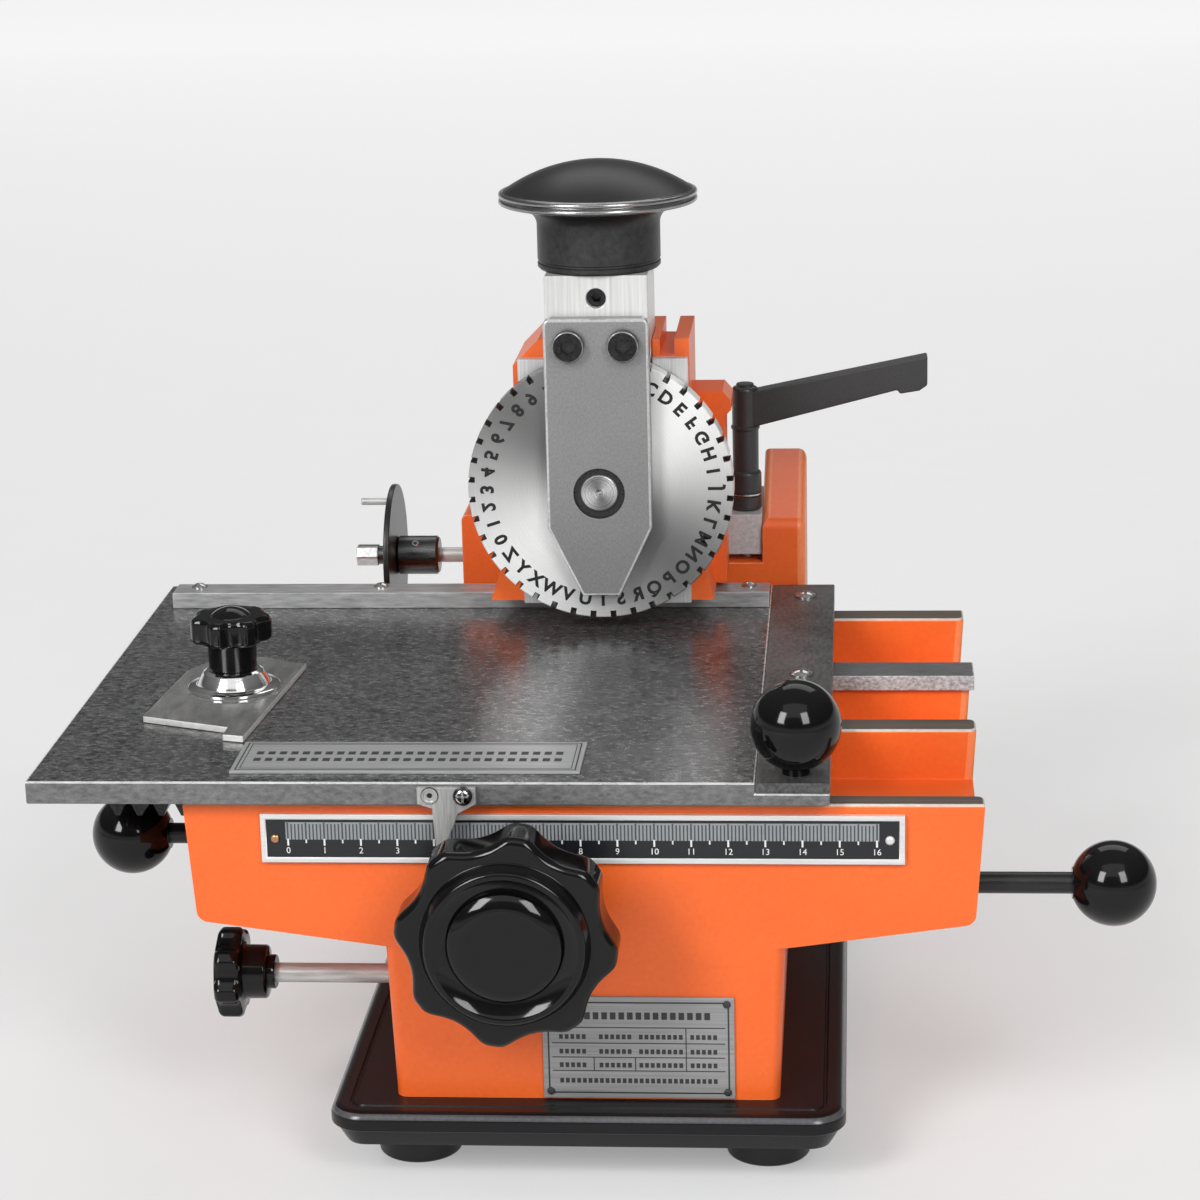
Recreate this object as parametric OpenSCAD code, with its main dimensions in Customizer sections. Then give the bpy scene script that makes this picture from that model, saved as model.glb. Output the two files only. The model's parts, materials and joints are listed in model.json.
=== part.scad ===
// Hand-operated nameplate embossing machine.
// X runs to the right and Y to the back.
// The floor is at Z = 0, and the overall box is centred on the origin.

/* [Base] */
// Width of the base plate
base_w = 143; // [130:1:160]
// Thickness of the base plate
base_t = 11; // [10:0.5:14]
// Rounding of the base plate's edges
base_edge = 2.7; // [2:0.1:3.5]
// How far the base plate stands in front of the casting
base_front = 12; // [8:0.5:14]
// How far the base plate stands behind the casting
base_back = 12; // [8:0.5:16]
// Diameter of a rubber foot
foot_d = 25; // [20:1:30]
// Height of a rubber foot
foot_h = 12; // [9:0.5:14]
// Distance of a foot from the base plate's front and back edge
foot_inset_y = 29.5; // [24:0.5:34]
// Thread diameter of the screws that hold feet and base
foot_screw_d = 4; // [3:0.5:4]

/* [Body casting] */
// Width of the two wings at the top
wing_span = 218; // [212:1:226]
// How much each wing end leans in towards its lower corner
wing_draft = 2.2; // [1:0.1:3]
// Depth of the wings, front to back
wing_d = 193; // [190:1:200]
// Height of a wing at its end
wing_end_h = 34.8; // [32:0.2:36]
// How much lower the wing's underside is at the pedestal
wing_slope = 6.8; // [4:0.2:9]
// Height of the casting
body_h = 86.4; // [84:0.2:92]
// Depth of the valleys between the ribs
valley_depth = 15; // [14.5:0.1:15.5]
// Width of the pedestal under the wings
pedestal_w = 110; // [108:1:114]
// How much each pedestal side leans in towards its foot
pedestal_taper = 1.7; // [0.5:0.1:2]
// Wall thickness of the casting
wall = 7.6; // [6.5:0.1:8]
// Thickness of the roof over the pedestal's hollow
roof_t = 6.4; // [5:0.2:7]
// Thickness of the front rib
front_rib = 7.6; // [6.5:0.1:8]
// Thickness of the middle and back ribs
rib_t = 10.5; // [9:0.5:11]
// Front face of the second rib
rib_2_y = 65.7; // [64:0.1:68]
// Middle of the rib that carries the guide rail
rail_y = 123.5; // [121:0.5:126]

/* [Rear column] */
// Gap between the wings and the column
column_gap = 7; // [6:0.5:9]
// Left side of the column, from the middle of the casting
column_left = 54.5; // [53:0.5:55]
// Thickness of the column's two walls
column_wall = 14; // [12:0.5:15]
// Width of the channel between the walls
channel_w = 84.5; // [83:0.5:86]
// Height of the channel floor over the column's seat
column_h = 29.1; // [28.5:0.1:30]
// Depth of the column, front to back
column_d = 45; // [43:0.5:47]
// Height of the left wall over the channel floor
left_wall_h = 16.5; // [15:0.5:18]
// Height of the right wall's back over the channel floor
right_wall_h = 29; // [27:0.5:33]
// Height of the right wall's front over the channel floor
right_front_h = 13.8; // [12:0.2:15]

/* [Guide rail and scale] */
// Width of the steel guide rail
rail_w = 15; // [14:0.5:16]
// Thickness of the guide rail
rail_t = 4.6; // [4:0.1:5]
// How far the guide rail stands past each wing end
rail_over = 1; // [0:0.5:3]
// Length of the scale's bezel
ruler_l = 175; // [168:1:180]
// Height of the scale's bezel
ruler_h = 13.8; // [12:0.2:14.5]
// Thickness of the scale's bezel
ruler_t = 1.5; // [1.2:0.1:2]
// Width of the bezel's frame
ruler_frame = 2; // [1.5:0.1:2.5]
// Width of the data plate
data_w = 53; // [45:1:56]
// Height of the data plate
data_h = 30; // [26:0.5:31]
// Thickness of the data and instruction plates
plate_t = 0.8; // [0.5:0.1:1]
// Length of the instruction plate on the table
instruction_l = 96; // [80:1:100]
// Depth of the instruction plate
instruction_d = 26; // [20:0.5:28]

/* [Table] */
// Length of the table, left to right
table_l = 218.5; // [214:0.5:224]
// Left end of the table, from the middle of the casting
table_left = 151; // [148:0.5:154]
// Depth of the table, front to back
table_d = 202; // [200:0.5:203]
// How far the table stands in front of the casting
table_front = 5; // [4.5:0.1:5.5]
// Thickness of the table
table_t = 6.5; // [6:0.1:7]
// Width of the screwed-on strip at the right end
strip_w = 20; // [18:0.5:22]
// Thickness of the strip
strip_t = 3; // [2:0.1:3.5]
// Depth of the back fence
fence_d = 11.4; // [10:0.2:13]
// Height of the back fence
fence_h = 5.2; // [4:0.1:5.3]
// Distance of the fence from the table's back edge
fence_back = 16.6; // [14:0.2:18]
// Diameter of the ball handle on the table
handle_d = 24.8; // [20:0.2:26]
// Table travel to the left of its place here
travel_left = 41; // [38:1:41]
// Table travel to the right of its place here
travel_right = 119; // [110:1:119]

/* [Table feed] */
// Tooth module of the table feed
feed_module = 2; // [1.9:0.05:2.05]
// Number of teeth on the feed pinion
feed_teeth = 16; // [15:1:16]
// Width of the rack and of the feed pinion
rack_w = 10; // [8:0.5:12]
// Front face of the rack
rack_y = 30; // [27:0.5:33]
// Diameter of the handwheel's shaft
feed_shaft_d = 10; // [8:0.5:11]
// Place of the handwheel's shaft, left of the casting's middle
feed_shaft_left = 18; // [16:0.5:20]

/* [Handwheel] */
// Diameter over the handwheel's lobes
wheel_d = 59; // [54:0.5:64]
// Number of lobes
wheel_lobes = 8; // [6:1:10]
// Thickness of the lobed rim
wheel_t = 13; // [11:0.5:15]
// Distance of the rim's front from the casting
wheel_reach = 36; // [34:0.5:40]
// Diameter of the centre cap
cap_d = 27; // [24:0.5:29]

/* [Head] */
// Place of the ram and type wheel, left of the casting's middle
head_left = 3.8; // [3:0.1:5]
// Width of the head above its foot
head_w = 54.6; // [53:0.2:56]
// Height of the head
head_h = 83.2; // [82.4:0.2:85]
// Front of the head casting, behind the casting's front face
head_front = 154; // [153:0.2:155]
// Depth of the head's upright
head_d = 38; // [36:0.5:40]
// Height of the sliding foot
foot_slide_h = 14.2; // [13:0.1:15]
// Back end of the sliding foot, behind the column's front
foot_slide_d = 46; // [45:0.5:48]
// Height of the ear on the head's right side
ear_h = 62.8; // [58:0.2:66]
// Width of the ear
ear_w = 12; // [10:0.1:12.5]
// Thickness of the guide plate
guide_t = 4; // [3:0.1:4.2]
// Width of the guide plate
guide_w = 52.4; // [50:0.2:54]
// Height of the guide plate
guide_h = 77.8; // [77:0.2:78.4]

/* [Ram and striker] */
// Width of the ram
ram_w = 31.5; // [28:0.5:33]
// Depth of the ram inside the head
ram_d = 20; // [17:0.5:22]
// Height of the ram's top over the head's top
ram_rise = 22; // [20:0.5:26]
// Press travel of the ram
press_travel = 4; // [3:0.1:4]
// Diameter of the striker cap
striker_d = 61; // [54:1:66]
// Height of the striker's dome
striker_dome = 14.4; // [12:0.2:16]
// Diameter of the striker's neck
striker_neck_d = 37.8; // [32:0.2:40]
// Height of the striker's neck
striker_neck_h = 18.4; // [16:0.2:26]
// Width of the arm plate
arm_w = 32.2; // [29:0.2:33]
// Thickness of the arm plate
arm_t = 5; // [4:0.1:6]
// Width of the arm plate's tip
arm_tip_w = 11.6; // [9:0.2:14]
// Wire diameter of the return spring
spring_wire = 1.6; // [1.2:0.1:1.8]
// Number of turns of the return spring
spring_turns = 5; // [4:1:6]

/* [Type wheel] */
// Diameter of the type wheel
type_d = 82; // [78:0.5:82.4]
// Thickness of the type wheel
type_t = 7; // [6:0.1:7.2]
// Number of characters round the type wheel
type_count = 40; // [36:1:42]
// Depth of the notch beside each character
notch_depth = 1.8; // [1.2:0.1:2.4]
// Diameter of the type wheel's pin
pin_d = 13; // [11:0.5:13]

/* [Line feed] */
// Tooth module of the line feed
line_module = 1; // [0.9:0.05:1]
// Number of teeth on the line pinion
line_teeth = 11; // [10:1:11]
// Diameter of the crank's shaft
crank_shaft_d = 5; // [4:0.1:5.5]
// Diameter of the crank disc
crank_d = 48; // [40:1:52]
// Thickness of the crank disc
crank_t = 2; // [1.5:0.1:3]
// Diameter of the crank's hub
crank_hub_d = 13; // [10:0.5:15]
// Head travel towards the front
line_forward = 12; // [10:0.5:13]
// Head travel towards the back
line_back = 8; // [6:0.5:8]

/* [Lock lever] */
// Side of the square keeper bar
keeper_s = 13.6; // [12.5:0.1:13.6]
// Diameter of the lever's hub
lever_hub_d = 9.4; // [8:0.2:9.6]
// Height of the lever's hub over the keeper bar
lever_hub_h = 42; // [38:0.5:50]
// Length of the lever, from its stud to its end
lever_l = 59; // [50:1:66]
// Diameter of the lever's stud
lever_stud_d = 5; // [4:0.1:6]

/* [Side stop] */
// Width of the side stop's plate
stop_w = 34; // [30:0.5:36]
// Length of the side stop's straight edge
stop_l = 88; // [80:1:92]
// Thickness of the side stop's plate
stop_t = 2; // [1.5:0.1:3]
// Angle that the side stop is turned by
stop_turn = 4.9; // [4:0.1:6]
// Diameter over the clamp knob's lobes
clamp_d = 24; // [20:0.5:27]
// Number of lobes of the clamp and tension knobs
clamp_lobes = 7; // [5:1:8]
// Diameter of the clamp knob's stud
clamp_stud_d = 6; // [5:0.2:6.4]

/* [Side rods and tension knob] */
// Diameter of the two side rods
rod_d = 6; // [5:0.2:6.4]
// Diameter of the balls on the side rods
rod_ball_d = 23.5; // [20:0.5:25]
// Reach of the right ball's middle past the wing's end
feed_reach = 35.25; // [34:0.25:42]
// Reach of the left ball's middle past the wing's end
release_reach = 25.8; // [22:0.2:28]
// Diameter over the tension knob's lobes
tension_d = 27; // [22:0.5:28]
// Length of the tension knob's shaft outside the pedestal
tension_reach = 36; // [32:0.5:44]
// Diameter of the tension knob's shaft
tension_shaft_d = 5.6; // [5:0.1:6]

/* [Clearances] */
// Radial clearance of a shaft that turns or slides
run_gap = 0.05; // [0.02:0.01:0.1]
// Gap between faces that slide past each other
slide_gap = 0.3; // [0.2:0.05:0.4]
// Gap round a piece that is pressed or screwed in
seat_gap = 0.02; // [0.01:0.01:0.05]
// Backlash between meshing teeth
backlash = 0.3; // [0.2:0.05:0.4]

/* [Hidden] */
$fn = 48;
pressure_angle = 25;

// Heights, from the floor up
body_z = foot_h + base_t;
body_top = body_z + body_h;
valley_z = body_top - valley_depth;
roof_z = valley_z - roof_t;
wing_z = body_top - wing_end_h;
rail_top = body_top + 0.8;
rail_z = rail_top - rail_t;
table_z = rail_top + slide_gap;
table_top = table_z + table_t;
channel_z = valley_z + column_h;
head_z = channel_z + slide_gap;
head_top = head_z + head_h;
keeper_z = channel_z + 2.2;
keeper_top = keeper_z + keeper_s;

// Places along Y, from the casting's front face to the back
column_y = wing_d + column_gap;
pedestal_d = column_y + column_d;
base_y = -base_front;
base_d = base_front + pedestal_d + base_back;
foot_ys = [base_y + foot_inset_y, base_y + base_d - foot_inset_y];
rail_rib_t = rail_w - 4;
rail_l = wing_span + 2 * rail_over;
back_rib_y = wing_d - rib_t;
table_back = table_d - table_front;
fence_y = table_back - fence_back - fence_d;
guide_y = head_front - guide_t;
type_y = guide_y - 1 - type_t;
arm_y = type_y - 1 - arm_t;
nose_y = arm_y + arm_t;
foot_back = column_y + foot_slide_d;
keeper_y = column_y + 2;
stud_y = keeper_y + 8;

// Places along X, from the casting's middle to the right
foot_x = pedestal_w / 2 - pedestal_taper - wall / 2;
hollow_w = pedestal_w - 2 * pedestal_taper - 2 * wall;
channel_x = column_wall - column_left;
channel_end = channel_x + channel_w;
keeper_x = channel_end - keeper_s;
stud_x = keeper_x + keeper_s / 2 + 1.4;
slide_x = channel_x + slide_gap;
slide_end = keeper_x - slide_gap;
head_x = -head_left;
head_side = head_x + head_w / 2;
table_x = -table_left;
table_end = table_x + table_l;
strip_x = table_end - strip_w;
feed_shaft_x = -feed_shaft_left;
feed_ball_x = wing_span / 2 + feed_reach;
release_ball_x = -wing_span / 2 - release_reach;

// Gear meshes
addendum = 0.9;
dedendum = 1.2;
feed_r = feed_module * feed_teeth / 2;
rack_pitch_z = valley_z + 0.7 + addendum * feed_module;
feed_shaft_z = rack_pitch_z - feed_r;
rack_x = feed_shaft_x - travel_right - 6;
rack_end = feed_shaft_x + travel_left + 6;
line_r = line_module * line_teeth / 2;
line_pitch_z = head_z + 0.3 + addendum * line_module;
crank_z = line_pitch_z - line_r;
crank_y = column_y + 27;
line_rack_w = 8;
line_rack_h = 5.5;
line_rack_margin = 5;
line_rack_y = crank_y - line_back - line_rack_margin;
line_rack_end = crank_y + line_forward + line_rack_margin;
line_slot_w = line_rack_w + 4;

// Type wheel, ram and striker
type_r = type_d / 2;
type_z = table_top + press_travel + 0.5 + type_r;
nose_z = type_z + type_r + 0.7;
ram_top = head_top + ram_rise;
ram_y = head_front + slide_gap;
ram_z = type_z - pin_d / 2 - 6;
spring_z = head_z + 4;
spring_r = 5.5;
arm_top = nose_z + 12.4;
arm_screw_z = nose_z + 4.3;
arm_screw_x = arm_w / 2 - 7.8;
striker_z = ram_top + striker_neck_h;

striker_y = (nose_y + ram_y + ram_d) / 2;
spigot_d = 16;
spigot_l = 14;
set_screw_d = 6;
set_screw_z = ram_top - spigot_l / 2;
arm_screw_d = 6;
arm_screw_l = 9;
guide_x = head_x + 0.8;
guide_screw_d = 4;
guide_screw_l = 10;
guide_screw_spots = [for (side = [-1, 1], up = [-1, 1])
    [head_x + side * (ram_w / 2 + 5.2), type_z + up * 20]];
crank_hub_x = -column_left - 11;
crank_hub_l = 14;
crank_disc_x = crank_hub_x - crank_hub_l - crank_t;
crank_nut_l = 12;
crank_nut_d = crank_shaft_d + 2.6;

// Fixings and bores that two pieces share
rod_z = wing_z + 8.2;
feed_rod_y = 12;
release_rod_y = 50;
tension_y = 30;
tension_x = -pedestal_w / 2 - tension_reach;
tension_z = body_z + 24.8;
bush_d = feed_shaft_d + 4;
web_y = rack_y + rack_w + 22.7;
web_t = 8;
web_half = bush_d + 2;
web_low = bush_d;
ruler_z = body_top - 2.9 - ruler_h;
scale_recess = 0.7;
data_x = -12;
data_z = body_z + 0.6;
rivet_d = 1.6;
rivet_spots = concat(
    [for (side = [-1, 1]) [side * (ruler_l / 2 - 4), ruler_z + ruler_h / 2, ruler_t]],
    [for (x = [2, data_w - 2], z = [2, data_h - 2]) [data_x + x, data_z + z, plate_t]]);
rivet_l = 4;
rail_screw_xs = [for (i = [-1.5:1:1.5]) i * rail_l * 0.27];
rail_screw_d = 4;
rail_screw_l = 12;
column_bolt_d = 6;
column_bolt_l = roof_t + 14;
column_bolt_spots = [for (x = [-30, 30], y = [column_y + 8, column_y + column_d - 13]) [x, y]];
lock_stud_l = 10;

// Fixings of the table and of what it carries
handle_x = strip_x + strip_w / 2 + 0.8;
handle_y = 9 - table_front;
handle_z = table_top + handle_d / 2 + 1;
handle_stud_d = 6;
table_screw_d = 4;
table_screw_in = 15;
table_screw_ys = [table_back - table_screw_in, table_back - table_d / 2 - 1];
fence_x = table_x + 5.8;
fence_end = strip_x - 0.5;
fence_screw_d = 3;
fence_screw_xs = [for (i = [0:3]) table_x + 13.4 + i * (fence_end - table_x - 20) / 3];
fence_screw_y = fence_y + fence_d * 0.64;
pointer_off = 6.25;
pointer_x = table_x + table_l / 2 + pointer_off;
pointer_screw_d = 3;
pointer_screw_l = 6;
pointer_screw_xs = [pointer_x - 4.5, pointer_x + 4.5];
pointer_z = table_z + table_t / 2;
gib_x = table_x + 31;
gib_l = 110;
gib_w = 7.5;
gib_z = rail_z - 5.6;
gib_screw_d = 4;
gib_screw_l = 4;
gib_screw_spots = [for (x = [gib_x + 15, gib_x + gib_l - 15], side = [-1, 1])
    [x, rail_y + side * (rail_w / 2 + slide_gap + gib_w / 2)]];
stop_x = table_x + 43;
stop_y = 76;
stop_z = table_top + run_gap;
stop_edge = 15.1;
cone_h = 6;
clamp_z = stop_z + stop_t + cone_h;

// The overall box, which stands centred on the origin
mid_x = (feed_ball_x + rod_ball_d / 2 + table_x) / 2;
wheel_front = -wheel_reach - 2;
mid_y = (wheel_front + base_y + base_d) / 2;

// Bores for a piece that is fixed in them and for one that turns or slides in them
function seated(d) = d + 2 * seat_gap;
function running(d) = d + 2 * run_gap;

// Points along a circle's arc
function arc(centre, r, from, to, steps = 6) =
    [for (i = [0:steps]) let (a = from + (to - from) * i / steps) centre + r * [cos(a), sin(a)]];

// A point mirrored left to right, and an outline completed by its mirror image
function flipped(points) = [for (i = [len(points) - 1:-1:0]) [-points[i][0], points[i][1]]];
function both_sides(points) = concat(points, flipped(points));

// One point of the involute from base radius rb, at radius r, turned by an angle
function involute(rb, r, turn, side) =
    let (grow = acos(rb / r), roll = tan(grow) * 180 / PI - grow, a = turn + side * roll)
    r * [cos(a), sin(a)];

// Outline of an involute pinion with a tooth pointing along +Y
function pinion_points(teeth, m) =
    let (r = m * teeth / 2, rb = r * cos(pressure_angle), tip = r + addendum * m, root = r - dedendum * m,
         start = max(rb, root), grow = pressure_angle,
         half = (90 - backlash / 2 / m * 180 / PI) / teeth + tan(grow) * 180 / PI - grow)
    [for (t = [0:teeth - 1]) let (a = 90 + t * 360 / teeth)
        for (p = concat(
            [root * [cos(a - half), sin(a - half)]],
            [for (i = [0:4]) involute(rb, start + (tip - start) * i / 4, a - half, 1)],
            [for (i = [4:-1:0]) involute(rb, start + (tip - start) * i / 4, a + half, -1)],
            [root * [cos(a + half), sin(a + half)]])) p];

// Outline of a rack, teeth down, with a gap over x = 0 and its pitch line on y = 0
function rack_points(from, to, m, height) =
    let (pitch = PI * m, lean = tan(pressure_angle), half = pitch / 4 - backlash / 4,
         tip = half - addendum * m * lean, root = half + dedendum * m * lean,
         first = ceil((from + root) / pitch - 0.5), last = floor((to - root) / pitch - 0.5))
    concat(
        [[to, height], [from, height], [from, dedendum * m]],
        [for (t = [first:last]) let (x = (t + 0.5) * pitch)
            for (p = [[x - root, dedendum * m], [x - tip, -addendum * m],
                      [x + tip, -addendum * m], [x + root, dedendum * m]]) p],
        [[to, dedendum * m]]);

// Everything is drawn from the casting's front face and middle, then centred
module place() {
    translate([-mid_x, -mid_y, 0]) children();
}

// A flat outline in X and Z, drawn out from y to y + depth
module along_y(y, depth) {
    translate([0, y + depth, 0]) rotate([90, 0, 0]) linear_extrude(depth) children();
}

// A flat outline in Y and Z, drawn out along X
module along_x(x, depth) {
    translate([x, 0, 0]) rotate([90, 0, 90]) linear_extrude(depth) children();
}

// A round bar along X, Y or Z
module bar_x(from, to, d, y, z) {
    translate([from, y, z]) rotate([0, 90, 0]) cylinder(h = to - from, d = d);
}
module bar_y(from, to, d, x, z) {
    translate([x, to, z]) rotate([90, 0, 0]) cylinder(h = to - from, d = d);
}
module bar_z(from, to, d, x, y) {
    translate([x, y, from]) cylinder(h = to - from, d = d);
}

// A box from its lowest to its highest corner
module block(low, high) {
    translate(low) cube(high - low);
}

// A disc with scallops between its lobes
module lobed(d, lobes, scallop_r, scallop_depth) {
    difference() {
        circle(d = d);
        for (i = [0:lobes - 1])
            rotate((i + 0.5) * 360 / lobes)
                translate([d / 2 + scallop_r - scallop_depth, 0]) circle(scallop_r);
    }
}

// A small cap screw along +Z with a hexagon socket; its head stands on z = 0
module cap_screw(d, length, head_d, head_h) {
    difference() {
        union() {
            translate([0, 0, -length]) cylinder(h = length, d = d);
            cylinder(h = head_h, d = head_d);
        }
        translate([0, 0, head_h / 2]) cylinder(h = head_h, d = head_d / 2, $fn = 6);
    }
}

// A low round-headed screw along +Z; its head stands on z = 0
module button_screw(d, length, head_d, head_h) {
    translate([0, 0, -length]) cylinder(h = length, d = d);
    cylinder(h = head_h * 0.5, d = head_d);
    translate([0, 0, head_h * 0.5]) cylinder(h = head_h * 0.5, d1 = head_d, d2 = head_d * 0.6);
}

// Pressed base under the casting, with soft edges all round
module base_plate() {
    corner_r = 10;
    tuck = 5;
    color("#1b1b1d") place() difference() {
        hull()
            for (x = [-1, 1] * (base_w / 2 - corner_r), y = [base_y + corner_r, base_y + base_d - corner_r])
                translate([x, y, foot_h]) rotate_extrude($fn = 32) polygon(concat(
                    [[0, 0], [corner_r - tuck, 0], [corner_r - 0.6, base_t - 2 * base_edge]],
                    arc([corner_r - base_edge, base_t - base_edge], base_edge, -30, 90, 5),
                    [[0, base_t]]));
        for (x = [-1, 1] * foot_x, y = foot_ys)
            bar_z(foot_h - 1, body_z + 1, seated(foot_screw_d), x, y);
    }
}

foot_head_d = foot_screw_d * 2;
foot_head_h = 3;
foot_head_z = 2;

// Turned-in rubber feet with a recess for the screw's head
module rubber_feet() {
    color("#141414") place()
        for (x = [-1, 1] * foot_x, y = foot_ys)
            translate([x, y, 0]) difference() {
                union() {
                    cylinder(h = foot_h / 2, d1 = foot_d - 3, d2 = foot_d);
                    translate([0, 0, foot_h / 2]) cylinder(h = foot_h / 2, d = foot_d);
                }
                translate([0, 0, -1]) cylinder(h = foot_h + 2, d = seated(foot_screw_d));
                translate([0, 0, -1]) cylinder(h = foot_head_z + foot_head_h + 1, d = seated(foot_head_d));
            }
}

// Screws that hold the feet and the base to the casting
module foot_screws() {
    shank = foot_h - foot_head_z - foot_head_h + base_t + 12;
    color("#8d9094") place()
        for (x = [-1, 1] * foot_x, y = foot_ys)
            translate([x, y, foot_head_z + foot_head_h]) mirror([0, 0, 1])
                cap_screw(foot_screw_d, shank, foot_head_d, foot_head_h);
}

// One casting: hollow pedestal, two wings and the ribs that carry the table
module body_casting() {
    corner_r = 3.3;
    corner = [wing_span / 2 - wing_draft - corner_r, wing_z + corner_r];
    knee = [pedestal_w / 2, wing_z - wing_slope];
    slot_half = feed_r + addendum * feed_module + 1.5;
    color("#f2702f") place() difference() {
        union() {
            along_y(0, wing_d)
                polygon(both_sides(concat(
                    [knee], arc(corner, corner_r, -82, -4), [[wing_span / 2, body_top]])));
            along_y(0, pedestal_d)
                polygon(both_sides([[knee[0] - pedestal_taper, body_z], knee, [knee[0], valley_z]]));
        }
        difference() {
            block([-hollow_w / 2, wall, body_z - 1], [hollow_w / 2, pedestal_d - wall, roof_z]);
            block([feed_shaft_x - web_half, web_y, feed_shaft_z - web_low],
                  [feed_shaft_x + web_half, web_y + web_t, roof_z + 1]);
        }
        for (valley = [
            [front_rib, rib_2_y],
            [rib_2_y + rib_t, rail_y - rail_rib_t / 2],
            [rail_y + rail_rib_t / 2, back_rib_y]
        ])
            block([-wing_span, valley[0], valley_z], [wing_span, valley[1], body_top + 1]);
        block([-wing_span, rail_y - rail_rib_t / 2 - 1, rail_z],
              [wing_span, rail_y + rail_rib_t / 2 + 1, body_top + 1]);
        block([feed_shaft_x - slot_half, rack_y - 2, roof_z - 1],
              [feed_shaft_x + slot_half, rack_y + rack_w + 2, valley_z + 1]);
        bar_y(-1, wall + 1, seated(bush_d), feed_shaft_x, feed_shaft_z);
        bar_y(web_y - 1, web_y + web_t + 1, seated(bush_d), feed_shaft_x, feed_shaft_z);
        bar_x(hollow_w / 2 - 1, wing_span, running(rod_d), feed_rod_y, rod_z);
        bar_x(-wing_span, 1 - hollow_w / 2, running(rod_d), release_rod_y, rod_z);
        bar_x(-wing_span, 1 - hollow_w / 2, running(tension_shaft_d), tension_y, tension_z);
        for (x = [-1, 1] * foot_x, y = foot_ys)
            bar_z(body_z - 1, body_z + 13, seated(foot_screw_d), x, y);
        for (spot = column_bolt_spots)
            bar_z(roof_z - 1, valley_z + 1, seated(column_bolt_d), spot[0], spot[1]);
        for (x = rail_screw_xs)
            bar_z(rail_z - rail_screw_l, rail_z + 1, seated(rail_screw_d), x, rail_y);
        for (spot = rivet_spots)
            bar_y(-1, rivet_l, seated(rivet_d), spot[0], spot[1]);
    }
}

// Column behind the wings, with the channel that the head slides in
module rear_column() {
    left = -column_left;
    right = channel_end + column_wall;
    left_top = channel_z + left_wall_h;
    right_top = channel_z + right_wall_h;
    round_l = 2;
    color("#f2702f") place() difference() {
        along_y(column_y, column_d) polygon(concat(
            [[left, valley_z], [right, valley_z], [right, right_top], [channel_end, right_top]],
            [[channel_end, channel_z], [channel_x, channel_z]],
            arc([channel_x - round_l, left_top - round_l], round_l, 0, 90),
            arc([left + round_l, left_top - round_l], round_l, 90, 180)));
        along_x(channel_end - 1, column_wall + 2) polygon([
            [column_y, channel_z + right_front_h], [pedestal_d, right_top], [pedestal_d, right_top + 1],
            [column_y - 1, right_top + 1], [column_y - 1, channel_z + right_front_h]]);
        block([head_x - line_slot_w / 2, crank_y - line_r - 3, crank_z - line_r - 3],
              [head_x + line_slot_w / 2, crank_y + line_r + 3, channel_z + 1]);
        bar_x(left - 1, head_x + line_slot_w / 2 + 8, running(crank_shaft_d), crank_y, crank_z);
        bar_z(channel_z - lock_stud_l - 1, channel_z + 1, seated(lever_stud_d), stud_x, stud_y);
        for (spot = column_bolt_spots)
            bar_z(valley_z - 1, roof_z + column_bolt_l + 1, seated(column_bolt_d), spot[0], spot[1]);
    }
}

// Bolts from inside the pedestal up into the column
module column_bolts() {
    color("#8d9094") place()
        for (spot = column_bolt_spots)
            translate([spot[0], spot[1], roof_z]) mirror([0, 0, 1])
                cap_screw(column_bolt_d, column_bolt_l, column_bolt_d * 1.6, column_bolt_d);
}

rail_head_d = rail_screw_d * 1.75;
rail_head_h = 2.4;
rail_head_z = rail_top - 0.2 - rail_head_h;

// Ground steel rail that the table's gibs run along
module guide_rail() {
    color("#b9bcc0") place() difference() {
        block([-rail_l / 2, rail_y - rail_w / 2, rail_z], [rail_l / 2, rail_y + rail_w / 2, rail_top]);
        for (x = rail_screw_xs) {
            bar_z(rail_z - 1, rail_top + 1, seated(rail_screw_d), x, rail_y);
            bar_z(rail_head_z, rail_top + 1, seated(rail_head_d), x, rail_y);
        }
    }
}

module rail_screws() {
    color("#8d9094") place()
        for (x = rail_screw_xs)
            translate([x, rail_y, rail_head_z])
                cap_screw(rail_screw_d, rail_head_z - rail_z + rail_screw_l - 1, rail_head_d, rail_head_h);
}

// Bright frame round the centimetre scale
module ruler_bezel() {
    color("#d9dadb") place() difference() {
        block([-ruler_l / 2, -ruler_t, ruler_z], [ruler_l / 2, 0, ruler_z + ruler_h]);
        block([ruler_frame - ruler_l / 2, -ruler_t - 1, ruler_z + ruler_frame],
              [ruler_l / 2 - ruler_frame, scale_recess - ruler_t, ruler_z + ruler_h - ruler_frame]);
        for (spot = [rivet_spots[0], rivet_spots[1]])
            bar_y(-ruler_t - 1, 1, seated(rivet_d), spot[0], spot[1]);
    }
}

// Printed strip inside the bezel
module ruler_scale() {
    inset = ruler_frame + 0.1;
    color("#202226") place() difference() {
        block([inset - ruler_l / 2, 0.1 - ruler_t, ruler_z + inset],
              [ruler_l / 2 - inset, scale_recess - ruler_t, ruler_z + ruler_h - inset]);
        for (spot = [rivet_spots[0], rivet_spots[1]])
            bar_y(-ruler_t - 1, 1, seated(rivet_d), spot[0], spot[1]);
    }
}

// Domed rivets of the scale and the data plate
module plate_rivets() {
    head_d = 2.8;
    head_h = 0.8;
    color("#c9c2b0") place()
        for (spot = rivet_spots) {
            front = spot[2] == ruler_t ? ruler_t - 0.1 : spot[2];
            bar_y(-front, rivet_l - 0.2, rivet_d, spot[0], spot[1]);
            translate([spot[0], -front, spot[1]]) rotate([90, 0, 0])
                cylinder(h = head_h, d1 = head_d, d2 = head_d * 0.6);
        }
}

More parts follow.
